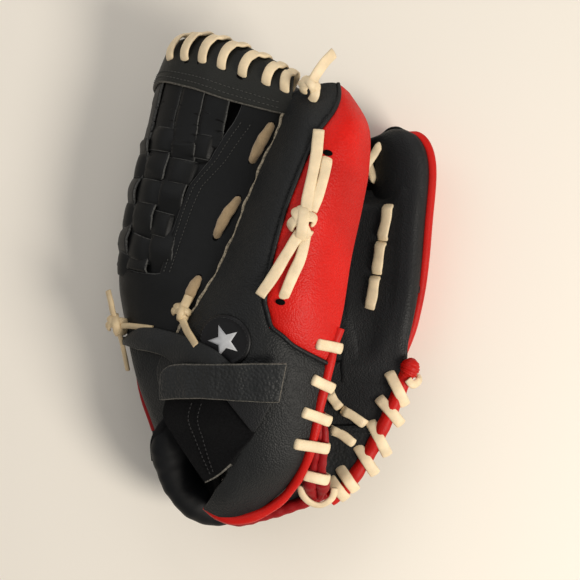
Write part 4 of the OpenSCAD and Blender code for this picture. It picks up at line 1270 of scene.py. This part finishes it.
def finger_crease(f, s, v):
    crease = 0.5 * np.exp(-((v - 0.52) / 0.03) ** 2) + 0.35 * np.exp(-((v - 0.3) / 0.03) ** 2)
    return crease * (1 - s ** 2) * (0.3 if f == PINKY else 1.0)


def build_fingers():
    tips = 1 - (1 - np.linspace(0, 1, 60)) ** 1.6
    shares = np.sin(np.linspace(-math.pi / 2, math.pi / 2, 33)) * 0.992
    angles = math.pi / 2 - 0.4998 * math.pi * np.cos(np.linspace(0, math.pi, 51))
    skin = [net_sheet(PALM, (0, 1, 41), (0, 1, 61), palm_height),
            net_sheet(JOIN, (0, 1, 61), (0, 1, 71), join_height)]
    for f, name in enumerate(FINGER_NAMES):
        s, v = np.meshgrid(reach(f, shares) * shares, tips)
        front = front_point(f, s, v)
        front[..., 2] -= finger_crease(f, s, v)
        skin.append(grid_sheet(front, 1))
        back = grid_sheet(back_point(f, *np.meshgrid(angles, tips)), -1)
        add_piece(f"{name}_back_leather", back, "red" if f == PINKY else "charcoal", "fingers_side",
                  f"{name}_back")
    inside = net_sheet(FINGER_LINING, (0, 1, 21), (0, 1, 31), 0.0, 1.5)
    add_piece("finger_lining_cloth", inside, "lining", "fingers_side")
    add_piece("palm_ball_side", skin, "black", "fingers_side", "palm_leather")


def build_pinky_roll():
    """Red roll between the little finger's ball side and its back; it thins round the tip."""
    v = np.concatenate([np.linspace(0.02, 0.9, 60), np.linspace(0.91, 0.97, 8)])
    x, y = finger_plan(PINKY, 0.92, v)
    z = np.minimum(front_point(PINKY, 0.97, v)[:, 2], RIGHT_SEAM[PINKY]) - 0.4
    edge = np.stack([x - 2.4 * (1 - smooth(v / 0.15)), y, z], axis=1)
    x, y = finger_plan(PINKY, np.array([0.72, 0.55, 0.4]), np.full(3, 1.0))
    tip = np.stack([x, y - 0.6, edge[-1, 2] - np.array([1.0, 2.6, 4.5])], axis=1)
    size = 1 - 0.6 * smooth((np.linspace(0, 1, 121) - 0.86) / 0.14)
    roll = sweep_part(even(np.concatenate([edge, tip]), 120), oval_profile(3.0, 3.2, 16), size=size)
    add_piece("pinky_red_edge", roll, "binding", "fingers_side")


def seam_loop(f):
    """Line of a finger's seam, up its left side, round its tip and down its right side."""
    tip = [(-1, 0.95), (-0.95, 0.98), (-0.75, 1.0), (-0.35, 1.0), (0, 1.0), (0.35, 1.0),
           (0.75, 1.0), (0.95, 0.98), (1, 0.95)]
    side = np.linspace(0.24, 0.9, 30)
    shares = [(-1, v) for v in side] + tip + [(1, v) for v in np.linspace(0.9, 0.24, 30)]
    s, v = np.array(shares).T
    x, y = finger_plan(f, reach(f, s) * s, v)
    y = y + np.where(np.abs(s) < 0.9, 0.6, 0.0)
    z = front_point(f, 0.995 * s, v)[..., 2] - 0.6
    return even(np.stack([x, y, z], axis=1), 240)


def build_welts():
    welts = [sweep_part(seam_loop(f), round_profile(0.8, 8)) for f in range(4)]
    add_piece("finger_seam_welts", welts, "black", "fingers_side", "finger_welt")


FOLD = Net([
    [[low[0] - 0.6, low[1], low[2] + 0.4], [low[0] - 6, low[1], 53],
     [low[0] + 3, low[1], 60.5 + 0.5 * k]]
    for k, low in enumerate([[4, -100, 47], [-12, -80, 46], [-30, -60, 45], [-43.5, -41.5, 45]])
], 1)


def build_palm():
    patch = net_sheet(PALM, (0.4, 0.9, 24), (0.1, 0.52, 30), 2.6, 1.2)
    add_piece("palm_heel_patch", patch, "patch", "fingers_side", "palm_patch")
    u = np.linspace(0.36, 0.93, 80)
    seams = [stitch_row(PALM, u, v, h, 1.3, 2.2, 0.22) for v, h in ((0.5, 3.6), (0.47, 4.0))]
    add_piece("palm_stitches", seams, "black_thread", "fingers_side")
    under = Net(PALM.rows, -1)
    pad = net_sheet(under, (0.3, 0.68, 12), (0.12, 0.9, 20), 9.9, 7.0)
    add_piece("palm_padding", pad, "felt", "fingers_side", "palm_pad")
    lining = net_sheet(under, (0.2, 0.66, 16), (0.2, 0.95, 24), 11.6, 1.2)
    add_piece("palm_lining_cloth", lining, "lining", "fingers_side", "palm_lining")
    add_piece("palm_fold_leather", net_sheet(FOLD, (0, 1, 24), (0, 1, 40)), "black", "across",
              "palm_fold")


# ---- Hand back, wrist and heel ----------------------------------------------------------------------

SIDE_EDGE = [[-86.8, -46, 46.5], [-85.6, -54, 46.5], [-83, -64, 46], [-79.6, -73, 46], [-77, -80, 46]]
WRIST_RIM = [
    [-54, -60, 79], [-61, -66, 72], [-68, -72, 65], [-73.5, -79, 58], [-77, -87, 51], [-77, -97, 46],
]
ROLL = [
    [-66, -74, 56], [-68, -83, 51], [-67.5, -95, 46], [-64.5, -105, 42], [-59.5, -115, 38],
    [-53, -122.5, 35], [-46, -127.5, 32], [-37, -129, 30], [-28, -126.5, 29],
]
WRIST_LINING = Net([
    [[-84, -28, 54], [-74, -28, 60], [-58, -28, 74]],
    [[-80, -52, 52], [-68, -52, 58], [-48, -54, 76]],
    [[-70, -76, 46], [-55, -75, 54], [-38, -76, 72]],
    [[-66, -92, 40], [-52, -90, 50], [-38, -90, 72]],
    [[-60, -106, 36], [-48, -104, 46], [-38, -103, 66]],
    [[-50, -118, 32], [-44, -115, 42], [-39, -113, 60]],
    [[-44, -128, 30], [-42, -124, 40], [-38, -122, 54]],
], 1)
HEEL_WALL = Net([
    [[-44, -123, 61], [-26, -124.5, 63], [-10, -115, 66], [0, -106, 68], [14, -96, 66]],
    [[-41, -127, 48], [-27, -128, 51], [-13, -121, 55], [0, -114, 57], [20, -105, 55]],
    [[-37, -131, 34], [-28, -130, 38], [-15, -125.5, 42], [0, -120.5, 45], [23, -113.5, 45]],
    [[-36, -132, 30], [-27, -131, 34], [-14, -127.8, 38.5], [0, -124.2, 41], [22, -116.8, 42]],
], -1)
HEEL_EDGE = [
    [21, -116.5, 46], [7.3, -121.8, 45], [-5.2, -126.2, 43], [-19.3, -130.2, 42], [-32, -132.6, 41],
    [-43, -131, 38],
]
HEEL_EDGE_SIZES = [0.9, 1, 1.05, 1.1, 1.1, 0.6]


def build_hand_back():
    add_piece("hand_back_leather", net_sheet(HAND_BACK, (0, 1, 81), (0, 1, 41)), "charcoal",
              "fingers_side", "hand_back_panel")
    add_piece("side_gusset_leather", net_sheet(GUSSET, (0, 1, 31), (0, 1, 41), 0.6, 2.0), "charcoal",
              "across", "side_gusset")
    red = sweep_part(even(SIDE_EDGE, 40), oval_profile(2.2, 1.5, 12),
                     size=0.7 + 0.4 * np.linspace(0, 1, 41))
    add_piece("side_red_edge", red, "dark_red", "fingers_side")
    rim = sweep_part(even(WRIST_RIM, 50), oval_profile(2.6, 1.8, 14), (0.5, 0, 1))
    add_piece("wrist_rim_roll", rim, "lining", "across", "wrist_rim")


def build_wrist():
    s = np.linspace(0, 1, 121)
    size = (0.55 + 0.45 * smooth(s * 5)) * (1 - 0.35 * smooth(s * 2.5 - 1.5))
    size = size * (1 + 0.02 * np.sin(31 * s) + 0.012 * np.sin(67 * s + 1))
    verts, *rest = sweep_part(even(ROLL, 120), oval_profile(12.0, 8.4, 40), (0.5, 0.4, 1), size)
    roll = add_piece("wrist_padded_roll", (wobble(verts, 1.1, 0.05, 3.0), *rest), "roll",
                     "fingers_side", "wrist_roll")
    # The wrist's lining takes the near-black material: painted shade in the glove's opening.
    inside = net_sheet(WRIST_LINING, (0, 1, 30), (0, 1, 50),
                       lambda u, v: 0.8 * np.sin(16 * u + 5 * v), 1.6)
    add_piece("wrist_lining_shade", inside, "hole", "across")
    add_piece("heel_edge_roll", folded_binding(HEEL_EDGE, 3.5, 110, 2.0, UP, HEEL_EDGE_SIZES),
              "dark_red", "fingers_side", "heel_binding")
    add_piece("heel_wall_leather", net_sheet(HEEL_WALL, (0, 1, 24), (0, 1, 16), 0.0, 2.0), "black",
              "across")


PINKY_BINDING = [
    [68, -44, 50], [64, -54, 50], [59, -65, 50], [54, -76, 49], [47, -90, 48], [39, -103, 47],
    [31, -114, 46], [23, -120, 45],
]
BINDING_CAP = [[-2.6, -5, 0.5], [-0.6, -1.8, 1], [0.6, 1.4, 1], [1.4, 4.2, -0.5]]
BINDING_CAP_SIZES = [3.6, 5.2, 5.4, 2.6]
# Where each lace leaves the palm and where it turns round the outer edge.
PINKY_WRAPS = [
    [[56.6, -47], [65, -64.5]], [[50.9, -61.9], [62.8, -75.6]], [[46.1, -75.6], [55.3, -93.2]],
    [[38.2, -88.6], [48.2, -104.3]], [[28, -100.8], [37, -113.8]], [[22.4, -107.4], [31.5, -118.6]],
]
WRAP_END = [[66.5, -50.5, 54.8], [69.5, -53.5, 54.5], [73.2, -51.5, 51], [73.5, -49, 46]]
PALM_LACES = [[[23.1, -58.9], [25.5, -63.4], [28.6, -67.5]], [[30.4, -68.7], [37, -72.3], [43.7, -77]],
              [[23.1, -80.3], [30.5, -83], [37.4, -88.4]]]
PINKY_LOOPS = [[[57.2, 48.8], [55.9, 39], [53.8, 28.8]], [[53.3, 27.5], [52.1, 18.5], [50.1, 9.3]],
               [[49.4, 7.5], [48, -1.5], [45.7, -10.8]]]


def build_pinky_edge():
    cap = np.array(PINKY_BINDING[0]) + BINDING_CAP
    add_piece("pinky_edge_roll", [
        folded_binding(PINKY_BINDING, 4.1, 140, 4.0, UP),
        folded_binding(cap, 1.0, 30, 1.0, UP, BINDING_CAP_SIZES),
    ], "binding", "fingers_side", "pinky_binding")
    parts = []
    for k, (start, turn) in enumerate(PINKY_WRAPS):
        surface, _ = PALM.lift(start, 0.9)
        z = float(np.interp(turn[1], [-120, -44], [45, 50]))
        parts.append(edge_wrap(start, turn, z, 4.1, surface[2], 20.0 + k, 6.4))
    parts.append(lace_tail(WRAP_END, 4.6, (0.3, 0, 1), 2.0))
    add_piece("pinky_heel_laces", parts, "cream", "fingers_side", "pinky_heel_lace")
    parts = [lace_on(PALM, p, 2.6, 5.6, 20, k) for k, p in enumerate(PALM_LACES)]
    add_piece("palm_laces", parts, "cream", "fingers_side", "palm_lace")


def tie_points(f, way):
    """Way of the lace from one fingertip to the next; two of them cross, way -1 and 1."""
    left = finger_at(f, 0.72, 72 - 9.5 * way)
    right = finger_at(f + 1, -0.72 if way > 0 else -0.95, 73 + 9 * way)
    middle = 0.65 * finger_at(f, 0.98, 74) + 0.35 * finger_at(f + 1, -0.98, 74)
    middle[2] = min(left[2], right[2]) + 0.4 * way
    return [left - [2, 0, 3], left + [0, 0, 0.9], 0.5 * (left + middle) + [0, 0, 0.6],
            middle + [0, 0, 1.2], 0.5 * (right + middle) + [0, 0, 0.8], right + [0, 0, 1.0],
            right + [2, 0, -3]]


def build_finger_laces():
    loops = [lace_on(JOIN, p, 1.9, 6.4, 24, k) for k, p in enumerate(PINKY_LOOPS)]
    add_piece("pinky_loop_laces", loops, "cream", "fingers_side", "pinky_loop_lace")
    ties = [lace_tail(tie_points(f, way), 4.8, UP, f + 0.5 * way) for f in range(3) for way in (-1, 1)]
    add_piece("fingertip_laces", ties, "cream", "fingers_side", "finger_lace")


def build_side_knot():
    knot = knot_with_tails([-98.0, -20.0, 52.0], ([0.2, 1.0], [5.0, 5.2, 4.4], 4.4, 6.0), [
        ([[-1, 3, 1], [-2.5, 9, 2], [-3.6, 14, 1], [-5.5, 19.5, -2]], 3.6, (-0.5, 0, 1), 2.0),
        ([[1, -3, 1], [2.6, -10, -1], [3.6, -18, -5], [4.6, -26, -9]], 3.4, (-0.8, 0, 1), 5.0),
        ([[2, 0, 3], [9.7, -0.3, 7.5], [16, -0.8, 12.5], [22, -1.4, 17]], 3.4, (-0.6, 0.3, 1), 3.0),
    ])
    add_piece("side_lace_knot", knot, "pale_tan", "fingers_side", "side_knot")


make_studio()
build_thumb()
build_thumb_edge()
build_thumb_lace()
build_emblem()
build_weave()
build_web_panels()
build_rail()
build_rail_lace()
build_tip_knot()
build_web_lace()
build_strap()
build_tab()
build_fingers()
build_pinky_roll()
build_welts()
build_palm()
build_hand_back()
build_wrist()
build_pinky_edge()
build_finger_laces()
build_side_knot()
